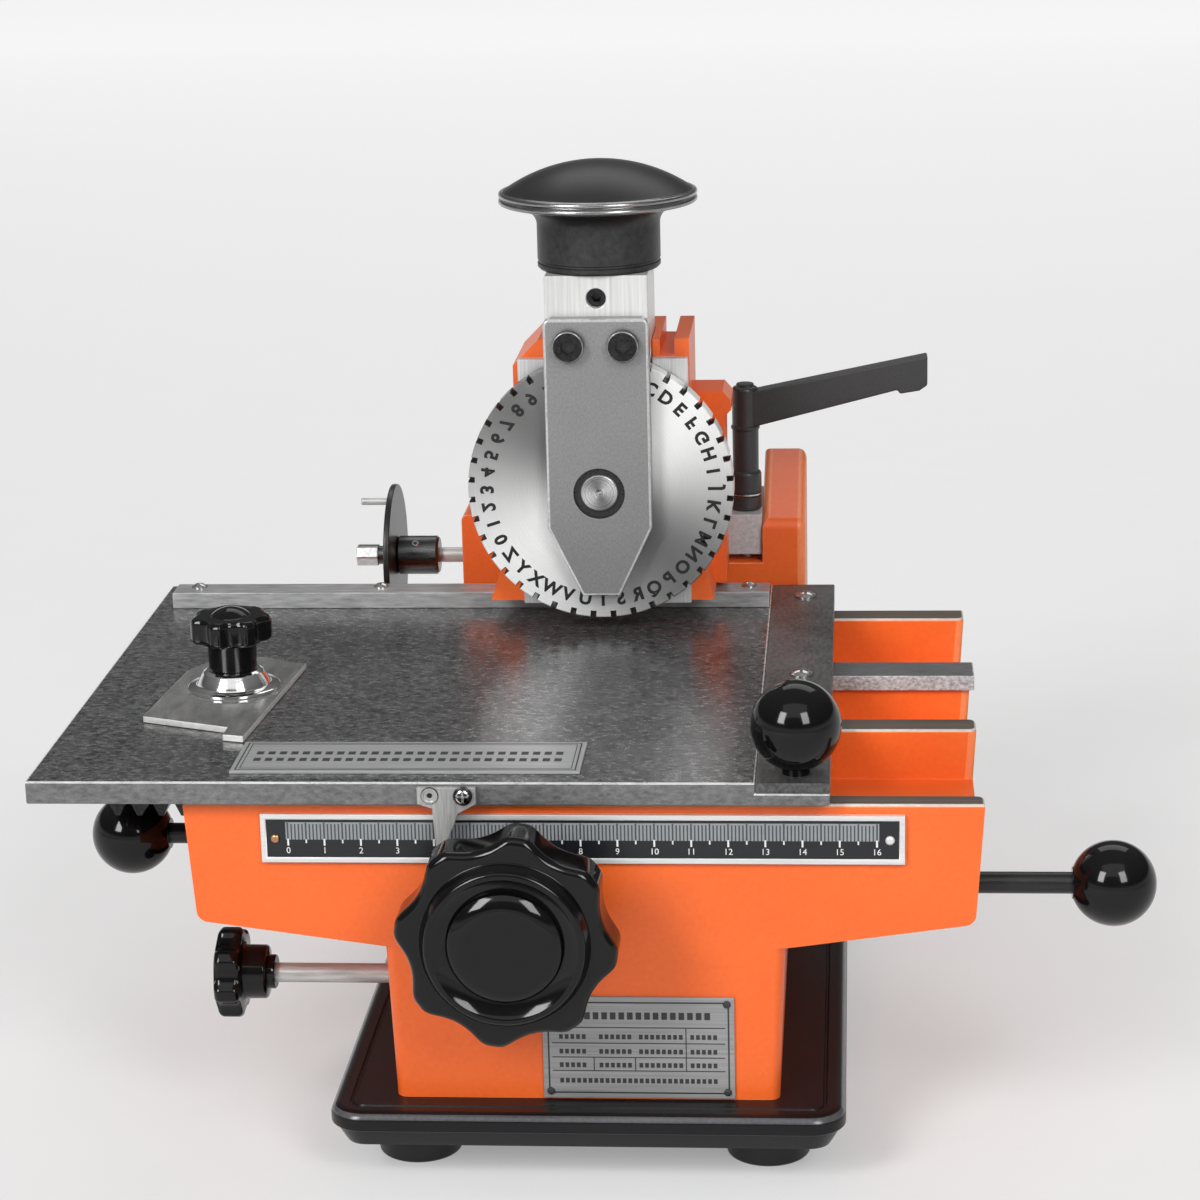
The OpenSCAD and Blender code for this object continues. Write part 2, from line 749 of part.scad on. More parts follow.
// Thin bare plate on the pedestal's front
module data_plate() {
    color("#a9acae") place() difference() {
        block([data_x, -plate_t, data_z], [data_x + data_w, 0, data_z + data_h]);
        for (i = [2:5])
            bar_y(-plate_t - 1, 1, seated(rivet_d), rivet_spots[i][0], rivet_spots[i][1]);
    }
}

bush_flange_t = 1.5;

// Bronze bushes of the handwheel's shaft: a flanged one in front, a plain one in the web
module shaft_bushes() {
    color("#b08d57") place() {
        difference() {
            union() {
                bar_y(-bush_flange_t, 0, bush_d + 4, feed_shaft_x, feed_shaft_z);
                bar_y(-bush_flange_t, wall, bush_d, feed_shaft_x, feed_shaft_z);
            }
            bar_y(-bush_flange_t - 1, wall + 1, running(feed_shaft_d), feed_shaft_x, feed_shaft_z);
        }
        difference() {
            bar_y(web_y, web_y + web_t, bush_d, feed_shaft_x, feed_shaft_z);
            bar_y(web_y - 1, web_y + web_t + 1, running(feed_shaft_d), feed_shaft_x, feed_shaft_z);
        }
    }
}

// Square steel bar that keeps the head's foot against the channel's left wall
module keeper_bar() {
    color("#b9bcc0") place() difference() {
        block([keeper_x, keeper_y, keeper_z], [channel_end, pedestal_d - 3, keeper_top]);
        bar_z(keeper_z - 1, keeper_top + 1, running(lever_stud_d), stud_x, stud_y);
    }
}

lever_top = keeper_top + lever_hub_h;

// Stud in the channel floor that the keeper and the lever sit on
module lock_stud() {
    color("#8d9094") place() bar_z(channel_z - lock_stud_l, lever_top - 3, lever_stud_d, stud_x, stud_y);
}

// Moulded clamping lever: foot, hub and a rising arm
module lock_lever() {
    arm_end = stud_x + lever_l;
    arm_side = 3.5;
    lip = 1.5;
    lip_l = 3;
    collar_h = 13;
    root_low = lever_top - 14.5;
    root_high = lever_top - 2.6;
    tip_low = lever_top - 0.6;
    tip_high = lever_top + 9.1;
    color("#18181a") place() difference() {
        union() {
            bar_z(keeper_top + slide_gap, keeper_top + collar_h, lever_hub_d + 0.8, stud_x, stud_y);
            bar_z(keeper_top + slide_gap, lever_top - 2, lever_hub_d, stud_x, stud_y);
            translate([stud_x, stud_y, lever_top - 2])
                cylinder(h = 2, d1 = lever_hub_d, d2 = lever_hub_d - 3);
            along_y(stud_y - arm_side, 2 * arm_side) polygon([
                [stud_x, root_low], [arm_end - lip_l, tip_low], [arm_end - lip_l, tip_low - lip],
                [arm_end, tip_low - lip + 0.6], [arm_end, tip_high], [stud_x, root_high]]);
        }
        bar_z(keeper_top - 1, lever_top - 2.5, running(lever_stud_d), stud_x, stud_y);
    }
}

// Turns a knob so that its axis points to the front, out of the casting
module facing_front(x, z) {
    translate([x, 0, z]) rotate([90, 0, 0]) children();
}

cap_z = wheel_reach - 1;

// Lobed handwheel, dished in front, with a raised ring round its cap
module handwheel() {
    rim_round = 3;
    hub_d = bush_d + 4;
    boss_r = cap_d / 2 + 9;
    ring_r = cap_d / 2 + 3.4;
    rim_front = wheel_reach - 6;
    back = rim_front - wheel_t;
    color("#161618") place() facing_front(feed_shaft_x, feed_shaft_z) difference() {
        union() {
            translate([0, 0, back]) intersection() {
                linear_extrude(wheel_t) rotate(-8) lobed(wheel_d, wheel_lobes, wheel_d * 0.24, 3.2);
                rotate_extrude() polygon(concat(
                    [[0, 0]],
                    arc([wheel_d / 2 - rim_round, rim_round], rim_round, -90, 0),
                    arc([wheel_d / 2 - rim_round, wheel_t - rim_round], rim_round, 0, 90),
                    [[0, wheel_t]]));
            }
            rotate_extrude() polygon([
                [0, back + 1], [boss_r, back + 1], [boss_r, rim_front + 0.6],
                [boss_r - 2.4, rim_front + 1.6],
                [ring_r + 1.6, wheel_reach - 1.6], [ring_r, wheel_reach], [0, wheel_reach]]);
            translate([0, 0, bush_flange_t + slide_gap]) cylinder(h = back, d1 = hub_d, d2 = hub_d + 8);
        }
        translate([0, 0, cap_z]) cylinder(h = 3, d = seated(cap_d));
        translate([0, 0, -1]) cylinder(h = cap_z - 3, d = seated(feed_shaft_d));
    }
}

// Pressed-in cap over the handwheel's fixing
module handwheel_cap() {
    dome = 1.2;
    color("#101012") place() facing_front(feed_shaft_x, feed_shaft_z) translate([0, 0, cap_z]) {
        cylinder(h = 3 - dome, d = cap_d);
        translate([0, 0, 3 - dome]) cylinder(h = dome, d1 = cap_d, d2 = cap_d - 4);
    }
}

module pinion_shaft() {
    color("#a7aaae") place()
        bar_y(4.5 - cap_z, web_y + web_t + 2, feed_shaft_d, feed_shaft_x, feed_shaft_z);
}

// Feed pinion on the handwheel's shaft
module drive_pinion() {
    color("#8d9094") place() difference() {
        along_y(rack_y, rack_w)
            translate([feed_shaft_x, feed_shaft_z]) polygon(pinion_points(feed_teeth, feed_module));
        bar_y(rack_y - 1, rack_y + rack_w + 1, seated(feed_shaft_d), feed_shaft_x, feed_shaft_z);
    }
}

// Rack under the table, in the front valley
module feed_rack() {
    color("#8d9094") place() along_y(rack_y, rack_w)
        translate([feed_shaft_x, rack_pitch_z])
            polygon(rack_points(
                rack_x - feed_shaft_x, rack_end - feed_shaft_x, feed_module, table_z - rack_pitch_z));
}

// Ground steel table with a recess for the strip at its right end
module table_plate() {
    color("#8f9296") place() difference() {
        block([table_x, -table_front, table_z], [table_end, table_back, table_top]);
        block([strip_x, -table_front - 1, table_top - strip_t],
              [table_end + 1, table_back + 1, table_top + 1]);
        bar_z(table_z - 1, table_top + 1, seated(handle_stud_d), handle_x, handle_y);
        for (y = table_screw_ys)
            bar_z(table_z - 1, table_top + 1, seated(table_screw_d), handle_x, y);
        for (x = fence_screw_xs)
            bar_z(table_z + 1, table_top + 1, seated(fence_screw_d), x, fence_screw_y);
        for (x = pointer_screw_xs)
            bar_y(-table_front - 1, pointer_screw_l - table_front, seated(pointer_screw_d), x, pointer_z);
        for (spot = gib_screw_spots)
            bar_z(table_z - 1, table_z + gib_screw_l + 0.3, seated(gib_screw_d), spot[0], spot[1]);
        bar_z(table_z - 1, table_top + 1, running(clamp_stud_d), stop_x, stop_y);
    }
}

// Strip that carries the ball handle
module handle_strip() {
    color("#85888c") place() difference() {
        block([strip_x, -table_front, table_top - strip_t], [table_end, table_back, table_top]);
        bar_z(table_z, table_top + 1, seated(handle_stud_d), handle_x, handle_y);
        for (y = table_screw_ys)
            bar_z(table_z, table_top + 1, seated(table_screw_d), handle_x, y);
    }
}

module table_screws() {
    color("#c8cacd") place()
        for (y = table_screw_ys)
            translate([handle_x, y, table_top])
                button_screw(table_screw_d, table_t - 0.5, table_screw_d * 1.8, 1.8);
}

// Ball handle with its neck and stud, turned in one piece
module ball_handle() {
    neck_r = handle_d * 0.22;
    color("#121214") place() translate([handle_x, handle_y, handle_z]) rotate_extrude() {
        intersection() {
            circle(d = handle_d);
            translate([0, -handle_d / 2]) square([handle_d / 2, handle_d]);
        }
        translate([0, table_top - handle_z]) square([neck_r, handle_z - table_top]);
        translate([0, table_z + 0.5 - handle_z]) square([handle_stud_d / 2, handle_z - table_z - 0.5]);
    }
}

// Bar along the back of the table that plates are set against
module back_fence() {
    color("#9da0a4") place() difference() {
        block([fence_x, fence_y, table_top], [fence_end, fence_y + fence_d, table_top + fence_h]);
        for (x = fence_screw_xs)
            bar_z(table_top - 1, table_top + fence_h + 1, seated(fence_screw_d), x, fence_screw_y);
    }
}

module fence_screws() {
    color("#c8cacd") place()
        for (x = fence_screw_xs)
            translate([x, fence_screw_y, table_top + fence_h])
                button_screw(fence_screw_d, fence_h + table_t - 1.5, fence_screw_d * 1.7, 1.2);
}

// Thin bare plate along the table's front edge
module instruction_plate() {
    x = table_x + 55;
    y = 7 - table_front;
    color("#a9acae") place()
        block([x, y, table_top], [x + instruction_l, y + instruction_d, table_top + plate_t]);
}

pointer_t = 1.5;

// Bent sheet pointer that reads the scale
module pointer() {
    tip_z = body_top - 14.4;
    color("#c8cacd") place() difference() {
        along_y(-table_front - pointer_t, pointer_t) polygon([
            [pointer_x - 8, table_top - 1], [pointer_x - 8, table_z + 0.8], [pointer_x - 4, table_z - 0.5],
            [pointer_x - 3, tip_z], [pointer_x - 2.4, tip_z], [pointer_x + 3, table_z - 2],
            [pointer_x + 8, table_z + 0.8], [pointer_x + 8, table_top - 1]]);
        for (x = pointer_screw_xs)
            bar_y(-table_front - pointer_t - 1, 1 - table_front, seated(pointer_screw_d), x, pointer_z);
    }
}

module pointer_screws() {
    color("#c8cacd") place()
        for (x = pointer_screw_xs)
            translate([x, -table_front - pointer_t, pointer_z]) rotate([90, 0, 0])
                button_screw(
                    pointer_screw_d, pointer_t + pointer_screw_l - 0.5, pointer_screw_d * 1.6, 1.8);
}

// Two gibs that hook under the guide rail and hold the table down
module table_gibs() {
    color("#8d9094") place() difference() {
        for (side = [0, 1])
            translate([0, rail_y, 0]) mirror([0, side, 0]) {
                near = rail_w / 2 + slide_gap;
                block([gib_x, near, gib_z], [gib_x + gib_l, near + gib_w, table_z]);
                block([gib_x, rail_rib_t / 2 + slide_gap, gib_z],
                      [gib_x + gib_l, near + 1, rail_z - slide_gap]);
            }
        for (spot = gib_screw_spots)
            bar_z(gib_z - 1, table_z + 1, seated(gib_screw_d), spot[0], spot[1]);
    }
}

module gib_screws() {
    color("#8d9094") place()
        for (spot = gib_screw_spots)
            translate([spot[0], spot[1], gib_z]) mirror([0, 0, 1])
                cap_screw(gib_screw_d, table_z - gib_z + gib_screw_l, gib_screw_d * 1.6, 3);
}

// Thin swinging stop that plates are set against at the left
module side_stop() {
    top = stop_l * 0.36;
    tip = top - stop_l + 2;
    left = stop_edge - stop_w;
    tab_w = 6.8;
    color("#c4c7ca") place() difference() {
        translate([stop_x, stop_y, stop_z]) rotate(-stop_turn) linear_extrude(stop_t) polygon([
            [stop_edge, tip], [stop_edge, top], [left + 8, top], [left, top * 0.75], [left, tip * 0.55],
            [stop_edge - tab_w, tip * 0.7], [stop_edge - tab_w + 0.4, tip * 0.81], [stop_edge - 1.6, tip]]);
        bar_z(table_top - 1, clamp_z, running(clamp_stud_d), stop_x, stop_y);
    }
}

// Turned cone washer under the clamp knob
module stop_cone() {
    color("#d9dadb") place() difference() {
        translate([stop_x, stop_y, stop_z + stop_t]) cylinder(h = cone_h, d1 = 27, d2 = 15);
        bar_z(stop_z, clamp_z + 1, running(clamp_stud_d), stop_x, stop_y);
    }
}

// Lobed knob with a round neck; its axis is +Z and its neck starts at z = 0
module star_knob(d, lobes, neck_d, neck_h, head_h, bore_d, bore_l) {
    edge = 1.8;
    difference() {
        union() {
            cylinder(h = neck_h + 1, d1 = neck_d, d2 = neck_d + 1);
            translate([0, 0, neck_h]) intersection() {
                linear_extrude(head_h) lobed(d, lobes, d * 0.2, d * 0.085);
                rotate_extrude() polygon(concat(
                    [[0, 0]],
                    arc([d / 2 - edge, edge], edge, -90, 0, 4),
                    arc([d / 2 - edge, head_h - edge], edge, 0, 90, 4),
                    [[0, head_h]]));
            }
        }
        translate([0, 0, -1]) cylinder(h = bore_l + 1, d = bore_d);
    }
}

knob_bore_l = 12;
clamp_neck_d = 14;
clamp_neck_h = 10;
clamp_head_h = 8.5;
tension_neck_d = 13;
tension_neck_h = 9;
tension_head_h = 8;

module clamp_knob() {
    color("#141416") place() translate([stop_x, stop_y, clamp_z + run_gap])
        star_knob(clamp_d, clamp_lobes, clamp_neck_d, clamp_neck_h, clamp_head_h,
                  seated(clamp_stud_d), knob_bore_l);
}

module clamp_stud() {
    color("#8d9094") place()
        bar_z(table_z + 0.5, clamp_z + knob_bore_l - 0.5, clamp_stud_d, stop_x, stop_y);
}

// Star knob on the pedestal's left side, with the screw that it turns
module tension_knob() {
    color("#141416") place() translate([tension_x, tension_y, tension_z]) rotate([0, -90, 0])
        star_knob(tension_d, clamp_lobes, tension_neck_d, tension_neck_h, tension_head_h,
                  seated(tension_shaft_d), knob_bore_l);
}

module tension_shaft() {
    color("#c8cacd") place()
        bar_x(tension_x - knob_bore_l + 0.5, 6 - hollow_w / 2, tension_shaft_d, tension_y, tension_z);
}

rod_inside = 5;
ball_bore = rod_ball_d * 0.6;

// A ball with a blind bore for its rod; its axis is +Z and the bore's mouth is at z = 0
module rod_ball() {
    translate([0, 0, -rod_ball_d / 2]) rotate_extrude() difference() {
        intersection() {
            circle(d = rod_ball_d);
            translate([0, -rod_ball_d / 2]) square([rod_ball_d / 2, rod_ball_d]);
        }
        translate([-1, rod_ball_d / 2 - ball_bore]) square([1 + rod_d / 2 + seat_gap, rod_ball_d]);
    }
}

// Side rods, each guided by its bore through the wing, with a ball at its end
module release_rod() {
    color("#8d9094") place()
        bar_x(release_ball_x + rod_ball_d / 2 - ball_bore + 0.5, rod_inside - hollow_w / 2,
              rod_d, release_rod_y, rod_z);
}

module release_ball() {
    color("#121214") place()
        translate([release_ball_x + rod_ball_d / 2, release_rod_y, rod_z]) rotate([0, 90, 0]) rod_ball();
}

module feed_rod() {
    color("#2a2b2e") place()
        bar_x(hollow_w / 2 - rod_inside, feed_ball_x - rod_ball_d / 2 + ball_bore - 0.5,
              rod_d, feed_rod_y, rod_z);
}

module feed_ball() {
    color("#121214") place()
        translate([feed_ball_x - rod_ball_d / 2, feed_rod_y, rod_z]) rotate([0, -90, 0]) rod_ball();
}

// Head casting: flared front, slot for the ram, ear on the right and the foot that slides in the column
module head_casting() {
    flare_h = 26;
    shoulder = 8;
    left = head_x - head_w / 2;
    slot_half = ram_w / 2 + slide_gap;
    notch = [head_side - 9, head_side - 4.5];
    notch_h = 5;
    ear_front = head_front + 18;
    ear_back = head_front + head_d - 2;
    ear_side = head_side + ear_w;
    ear_top = head_z + ear_h;
    lug = 2;
    color("#f2702f") place() difference() {
        union() {
            along_y(head_front, head_d) polygon([
                [slide_x, head_z], [slide_end, head_z], [head_side, head_z + flare_h],
                [head_side, head_top],
                [left + shoulder, head_top], [left, head_top - shoulder], [left, head_z + flare_h]]);
            block([slide_x, head_front + head_d - 1, head_z],
                  [slide_end, foot_back, head_z + foot_slide_h]);
            along_y(ear_front, ear_back - ear_front) polygon([
                [head_side - 1, head_z + 1], [ear_side - lug, head_z + 1], [ear_side - lug, ear_top - 8],
                [ear_side, ear_top - 6], [ear_side, ear_top - 3], [ear_side - lug - 0.6, ear_top],
                [head_side - 1, ear_top]]);
        }
        block([head_x - slot_half, head_front - 1, spring_z],
              [head_x + slot_half, ram_y + ram_d + slide_gap, head_top + 1]);
        block([notch[0], head_front - 1, head_top - notch_h],
              [notch[1], head_front + head_d + 1, head_top + 1]);
        block([head_x - line_rack_w / 2 - seat_gap, line_rack_y - seat_gap, head_z - 1],
              [head_x + line_rack_w / 2 + seat_gap, line_rack_end + seat_gap, line_pitch_z + line_rack_h]);
        for (spot = guide_screw_spots)
            bar_y(head_front - 1, head_front + guide_screw_l, seated(guide_screw_d), spot[0], spot[1]);
    }
}

guide_head_h = 2.6;

// Steel plate that closes the ram's slot, with a window for the wheel's pin
module ram_guide_plate() {
    pin_half = pin_d / 2 + slide_gap;
    nose_half = ram_w / 2 + slide_gap;
    top = head_z + guide_h;
    color("#b4b7bb") place() difference() {
        block([guide_x - guide_w / 2, guide_y, head_z], [guide_x + guide_w / 2, head_front, top]);
        block([head_x - pin_half, guide_y - 1, type_z - press_travel - pin_half],
              [head_x + pin_half, head_front + 1, type_z + pin_half]);
        block([head_x - nose_half, guide_y - 1, nose_z - press_travel - slide_gap],
              [head_x + nose_half, head_front + 1, top + 1]);
        for (spot = guide_screw_spots) {
            bar_y(guide_y - 1, head_front + 1, seated(guide_screw_d), spot[0], spot[1]);
            bar_y(guide_y - 1, guide_y + guide_head_h + 0.2, seated(guide_screw_d * 1.7), spot[0], spot[1]);
        }
    }
}

module guide_screws() {
    color("#8d9094") place()
        for (spot = guide_screw_spots)
            translate([spot[0], guide_y + guide_head_h + 0.2, spot[1]]) rotate([90, 0, 0])
                cap_screw(guide_screw_d, guide_t - guide_head_h - 0.2 + guide_screw_l - 1,
                          guide_screw_d * 1.7, guide_head_h);
}

// Short rack let into the underside of the head's foot
module line_rack() {
    color("#8d9094") place() translate([0, crank_y, line_pitch_z])
        along_x(head_x - line_rack_w / 2, line_rack_w)
            polygon(rack_points(line_rack_y - crank_y, line_rack_end - crank_y, line_module, line_rack_h));
}

// Ram: a square stem in the head, with a nose over the type wheel
module ram() {
    left = head_x - ram_w / 2;
    right = head_x + ram_w / 2;
    color("#c4c7ca") place() difference() {
        union() {
            block([left, ram_y, ram_z], [right, ram_y + ram_d, ram_top]);
            block([left, nose_y, nose_z], [right, ram_y + 1, ram_top]);
        }
        bar_y(ram_y - 1, ram_y + 12, seated(pin_d), head_x, type_z);
        for (side = [-1, 1])
            bar_y(nose_y - 1, nose_y + arm_screw_l, seated(arm_screw_d),
                  head_x + side * arm_screw_x, arm_screw_z);
        bar_z(ram_top - spigot_l, ram_top + 1, seated(spigot_d), head_x, striker_y);
        bar_y(nose_y - 1, striker_y, seated(set_screw_d), head_x, set_screw_z);
    }
}

// Mushroom-shaped striker that the hand presses or a mallet hits
module striker_cap() {
    rim = 1.7;
    neck = striker_neck_d / 2;
    edge = striker_d / 2;
    top = striker_z + striker_dome;
    low = striker_z + 3.6;
    rise = top - low - rim;
    dome_r = ((edge - rim) * (edge - rim) + rise * rise) / (2 * rise);
    sweep = asin((edge - rim) / dome_r);
    color("#121214") place() translate([head_x, striker_y, 0]) {
        rotate_extrude($fn = 72) polygon(concat(
            [[0, ram_top], [neck, ram_top], [neck, striker_z - 5]],
            arc([neck + 5, striker_z - 5], 5, 180, 100),
            arc([edge - rim, low], rim, -70, 50, 5),
            arc([0, top - dome_r], dome_r, 90 - sweep, 90, 10)));
        translate([0, 0, ram_top - spigot_l + 0.5]) cylinder(h = spigot_l, d = spigot_d);
    }
}

module cap_set_screw() {
    color("#3a3c40") place() difference() {
        bar_y(nose_y + 2.5, striker_y - spigot_d / 2 - 0.1, set_screw_d, head_x, set_screw_z);
        translate([head_x, nose_y + 5.5, set_screw_z]) rotate([90, 0, 0])
            cylinder(h = 4, d = set_screw_d * 0.55, $fn = 6);
    }
}

// Bright arm in front of the type wheel that carries its pin
module arm_plate() {
    bend_z = type_z - 11;
    tip_z = type_z - type_r + 8.5;
    color("#b4b7bb") place() difference() {
        along_y(arm_y, arm_t) translate([head_x, 0]) polygon(both_sides([
            [arm_tip_w / 2, tip_z], [arm_w / 2, bend_z], [arm_w / 2, arm_top]]));
        bar_y(arm_y - 1, nose_y + 1, seated(pin_d), head_x, type_z);
        bar_y(arm_y - 1, arm_y + 1.5, pin_d + 1.8, head_x, type_z);
        for (side = [-1, 1])
            bar_y(arm_y - 1, nose_y + 1, seated(arm_screw_d), head_x + side * arm_screw_x, arm_screw_z);
    }
}

module arm_screws() {
    color("#2a2b2e") place()
        for (side = [-1, 1])
            translate([head_x + side * arm_screw_x, arm_y, arm_screw_z]) rotate([90, 0, 0])
                cap_screw(arm_screw_d, arm_t + arm_screw_l - 0.5, 9.8, 3);
}

// Pin of the type wheel, held in the arm and in the ram
module wheel_pin() {
    color("#a7aaae") place() bar_y(arm_y + 0.4, ram_y + 11.5, pin_d, head_x, type_z);
}

spring_low = spring_z + spring_wire / 2 + 0.1;
spring_high = ram_z - spring_wire / 2 - 0.1;
spring_pitch = (spring_high - spring_low) / spring_turns;
echo(str("Gap between the return spring's turns: ", spring_pitch - spring_wire, " mm"));

// Return spring under the ram: one wire wound in a helix
module ram_spring() {
    sides = 6;
    per_turn = 8;
    rings = spring_turns * per_turn;
    points = [for (i = [0:rings], k = [0:sides - 1])
        let (a = i * 360 / per_turn, b = k * 360 / sides, r = spring_r + spring_wire / 2 * cos(b))
        [r * cos(a), r * sin(a), spring_low + spring_pitch * i / per_turn + spring_wire / 2 * sin(b)]];
    skin = [for (i = [0:rings - 1], k = [0:sides - 1])
        let (p = i * sides + k, q = i * sides + (k + 1) % sides)
        for (f = [[p, p + sides, q], [q, p + sides, q + sides]]) f];
    ends = concat(
        [for (k = [1:sides - 2]) [0, k, k + 1]],
        [for (k = [1:sides - 2]) [rings * sides, rings * sides + k + 1, rings * sides + k]]);
    color("#8d9094") place() translate([head_x, ram_y + ram_d / 2, 0])
        polyhedron(points, concat(skin, ends));
}

// Type wheel with a locating notch beside each character
module type_wheel() {
    notch_w = 1.3;
    color("#d4d6d8") place() along_y(type_y, type_t) translate([head_x, type_z]) difference() {
        circle(d = type_d, $fn = 120);
        circle(d = running(pin_d));
        for (i = [0:type_count - 1])
            rotate((i + 0.5) * 360 / type_count) translate([type_r - notch_depth, -notch_w / 2])
                square([notch_depth + 1, notch_w]);
    }
}

// Line-feed crank behind the table, on the left
module crank_shaft() {
    color("#c8cacd") place()
        bar_x(crank_disc_x - crank_nut_l + 1, head_x + line_slot_w / 2 + 7,
              crank_shaft_d, crank_y, crank_z);
}

module crank_disc() {
    pin_r = 18.6;
    pin_l = 10;
    color("#1b1b1d") place() {
        difference() {
            bar_x(crank_disc_x, crank_disc_x + crank_t, crank_d, crank_y, crank_z);
            bar_x(crank_disc_x - 1, crank_disc_x + crank_t + 1, seated(crank_shaft_d), crank_y, crank_z);
        }
        bar_x(crank_disc_x - pin_l, crank_disc_x + 1, 2.4, crank_y, crank_z + pin_r);
    }
}

module crank_hub() {
    color("#1b1b1d") place() difference() {
        bar_x(crank_hub_x - crank_hub_l, crank_hub_x, crank_hub_d, crank_y, crank_z);
        bar_x(crank_hub_x - crank_hub_l - 1, crank_hub_x + 1, seated(crank_shaft_d), crank_y, crank_z);
        bar_y(crank_y - crank_hub_d, crank_y, 3, crank_hub_x - crank_hub_l / 2, crank_z);
    }
}

module crank_nut() {
    color("#c8cacd") place() difference() {
        translate([crank_disc_x - crank_nut_l, crank_y, crank_z]) rotate([0, 90, 0])
            cylinder(h = crank_nut_l, d = crank_nut_d, $fn = 6);
        bar_x(crank_disc_x - crank_nut_l - 1, crank_disc_x + 1, seated(crank_shaft_d), crank_y, crank_z);
    }
}

module line_pinion() {
    color("#8d9094") place() difference() {
        translate([head_x - line_rack_w / 2, crank_y, crank_z]) rotate([90, 0, 90])
            linear_extrude(line_rack_w) polygon(pinion_points(line_teeth, line_module));
        bar_x(head_x - line_rack_w, head_x + line_rack_w, seated(crank_shaft_d), crank_y, crank_z);
    }
}

base_plate();
rubber_feet();
foot_screws();
body_casting();
rear_column();
column_bolts();
guide_rail();
rail_screws();
ruler_bezel();
ruler_scale();
plate_rivets();
data_plate();
shaft_bushes();
keeper_bar();
lock_stud();
lock_lever();
handwheel();
handwheel_cap();
pinion_shaft();
drive_pinion();
table_plate();
handle_strip();
table_screws();
ball_handle();
back_fence();
fence_screws();
instruction_plate();
pointer();
pointer_screws();
table_gibs();
gib_screws();
feed_rack();
side_stop();
stop_cone();
clamp_knob();
clamp_stud();
head_casting();
ram_guide_plate();
guide_screws();
line_rack();
ram();
striker_cap();
cap_set_screw();
arm_plate();
arm_screws();
wheel_pin();
ram_spring();
type_wheel();
crank_shaft();
crank_disc();
crank_hub();
crank_nut();
line_pinion();
tension_knob();
tension_shaft();
release_rod();
release_ball();
feed_rod();
feed_ball();
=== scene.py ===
# A hand-operated nameplate embossing machine, dressed piece by piece in the order in which it is
# put together: base, casting, scale, column, handwheel, table, head, type wheel and the small controls.
import json
import math

import bpy
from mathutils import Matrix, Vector

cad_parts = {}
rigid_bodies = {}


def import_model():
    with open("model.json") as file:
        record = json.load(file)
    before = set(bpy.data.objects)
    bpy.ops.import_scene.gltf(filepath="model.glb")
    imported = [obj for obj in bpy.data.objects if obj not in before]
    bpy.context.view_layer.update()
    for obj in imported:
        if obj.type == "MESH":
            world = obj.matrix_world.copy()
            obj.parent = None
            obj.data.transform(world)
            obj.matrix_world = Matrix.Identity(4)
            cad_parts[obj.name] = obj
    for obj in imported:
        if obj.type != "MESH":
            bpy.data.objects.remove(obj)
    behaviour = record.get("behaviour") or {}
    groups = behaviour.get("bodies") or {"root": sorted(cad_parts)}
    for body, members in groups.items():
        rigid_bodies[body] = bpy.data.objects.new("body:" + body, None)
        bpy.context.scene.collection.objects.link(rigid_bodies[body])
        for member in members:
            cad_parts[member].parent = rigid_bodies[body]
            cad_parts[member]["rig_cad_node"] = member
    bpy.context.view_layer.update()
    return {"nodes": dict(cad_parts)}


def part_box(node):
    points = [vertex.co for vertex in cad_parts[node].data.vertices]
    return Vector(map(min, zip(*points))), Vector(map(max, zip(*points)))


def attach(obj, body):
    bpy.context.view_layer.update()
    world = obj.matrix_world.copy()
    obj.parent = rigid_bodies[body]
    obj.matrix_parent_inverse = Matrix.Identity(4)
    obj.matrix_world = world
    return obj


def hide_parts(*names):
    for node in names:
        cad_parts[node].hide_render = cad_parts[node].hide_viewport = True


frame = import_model()
bpy.context.scene.view_settings.view_transform = "Standard"


# Base plate: a deep tray pressed from sheet steel, sprayed satin black, with a rolled bead round
# its top. The casting stands on it, and four screws go through it into the casting.
def start(add, **how):
    """A new primitive, with nothing else selected."""
    bpy.ops.object.select_all(action="DESELECT")
    add(**how)
    return bpy.context.active_object


def slab(low, high):
    """A block between two corners."""
    piece = start(bpy.ops.mesh.primitive_cube_add, size=1)
    piece.location = [(a + b) / 2 for a, b in zip(low, high)]
    piece.scale = [b - a for a, b in zip(low, high)]
    bpy.ops.object.transform_apply(location=True, rotation=True, scale=True)
    return piece


def choose(piece, kind, wanted):
    """In edit mode, only the wanted faces, edges or points are selected."""
    bpy.ops.object.mode_set(mode="EDIT")
    bpy.ops.mesh.select_mode(type=kind)
    bpy.ops.mesh.select_all(action="DESELECT")
    bpy.ops.object.mode_set(mode="OBJECT")
    mesh = piece.data
    for item in {"FACE": mesh.polygons, "EDGE": mesh.edges, "VERT": mesh.vertices}[kind]:
        if kind == "FACE":
            item.select = wanted(item.center, item.normal)
        elif kind == "EDGE":
            item.select = wanted(*(mesh.vertices[v].co for v in item.vertices))
        else:
            item.select = wanted(item.co)
    bpy.ops.object.mode_set(mode="EDIT")


def leave_edit():
    bpy.ops.object.mode_set(mode="OBJECT")


def round_edges(piece, width, segments=3, angle=30):
    """Sharp edges are rounded, as a mould or a grinder leaves them."""
    bevel = piece.modifiers.new("edges", "BEVEL")
    bevel.width = width
    bevel.segments = segments
    bevel.limit_method = "ANGLE"
    bevel.angle_limit = math.radians(angle)
    bevel.use_clamp_overlap = True
    bpy.context.view_layer.objects.active = piece
    bpy.ops.object.modifier_apply(modifier=bevel.name)
    bpy.ops.object.mode_set(mode="EDIT")
    bpy.ops.mesh.select_all(action="SELECT")
    bpy.ops.mesh.dissolve_degenerate(threshold=1e-6)
    leave_edit()


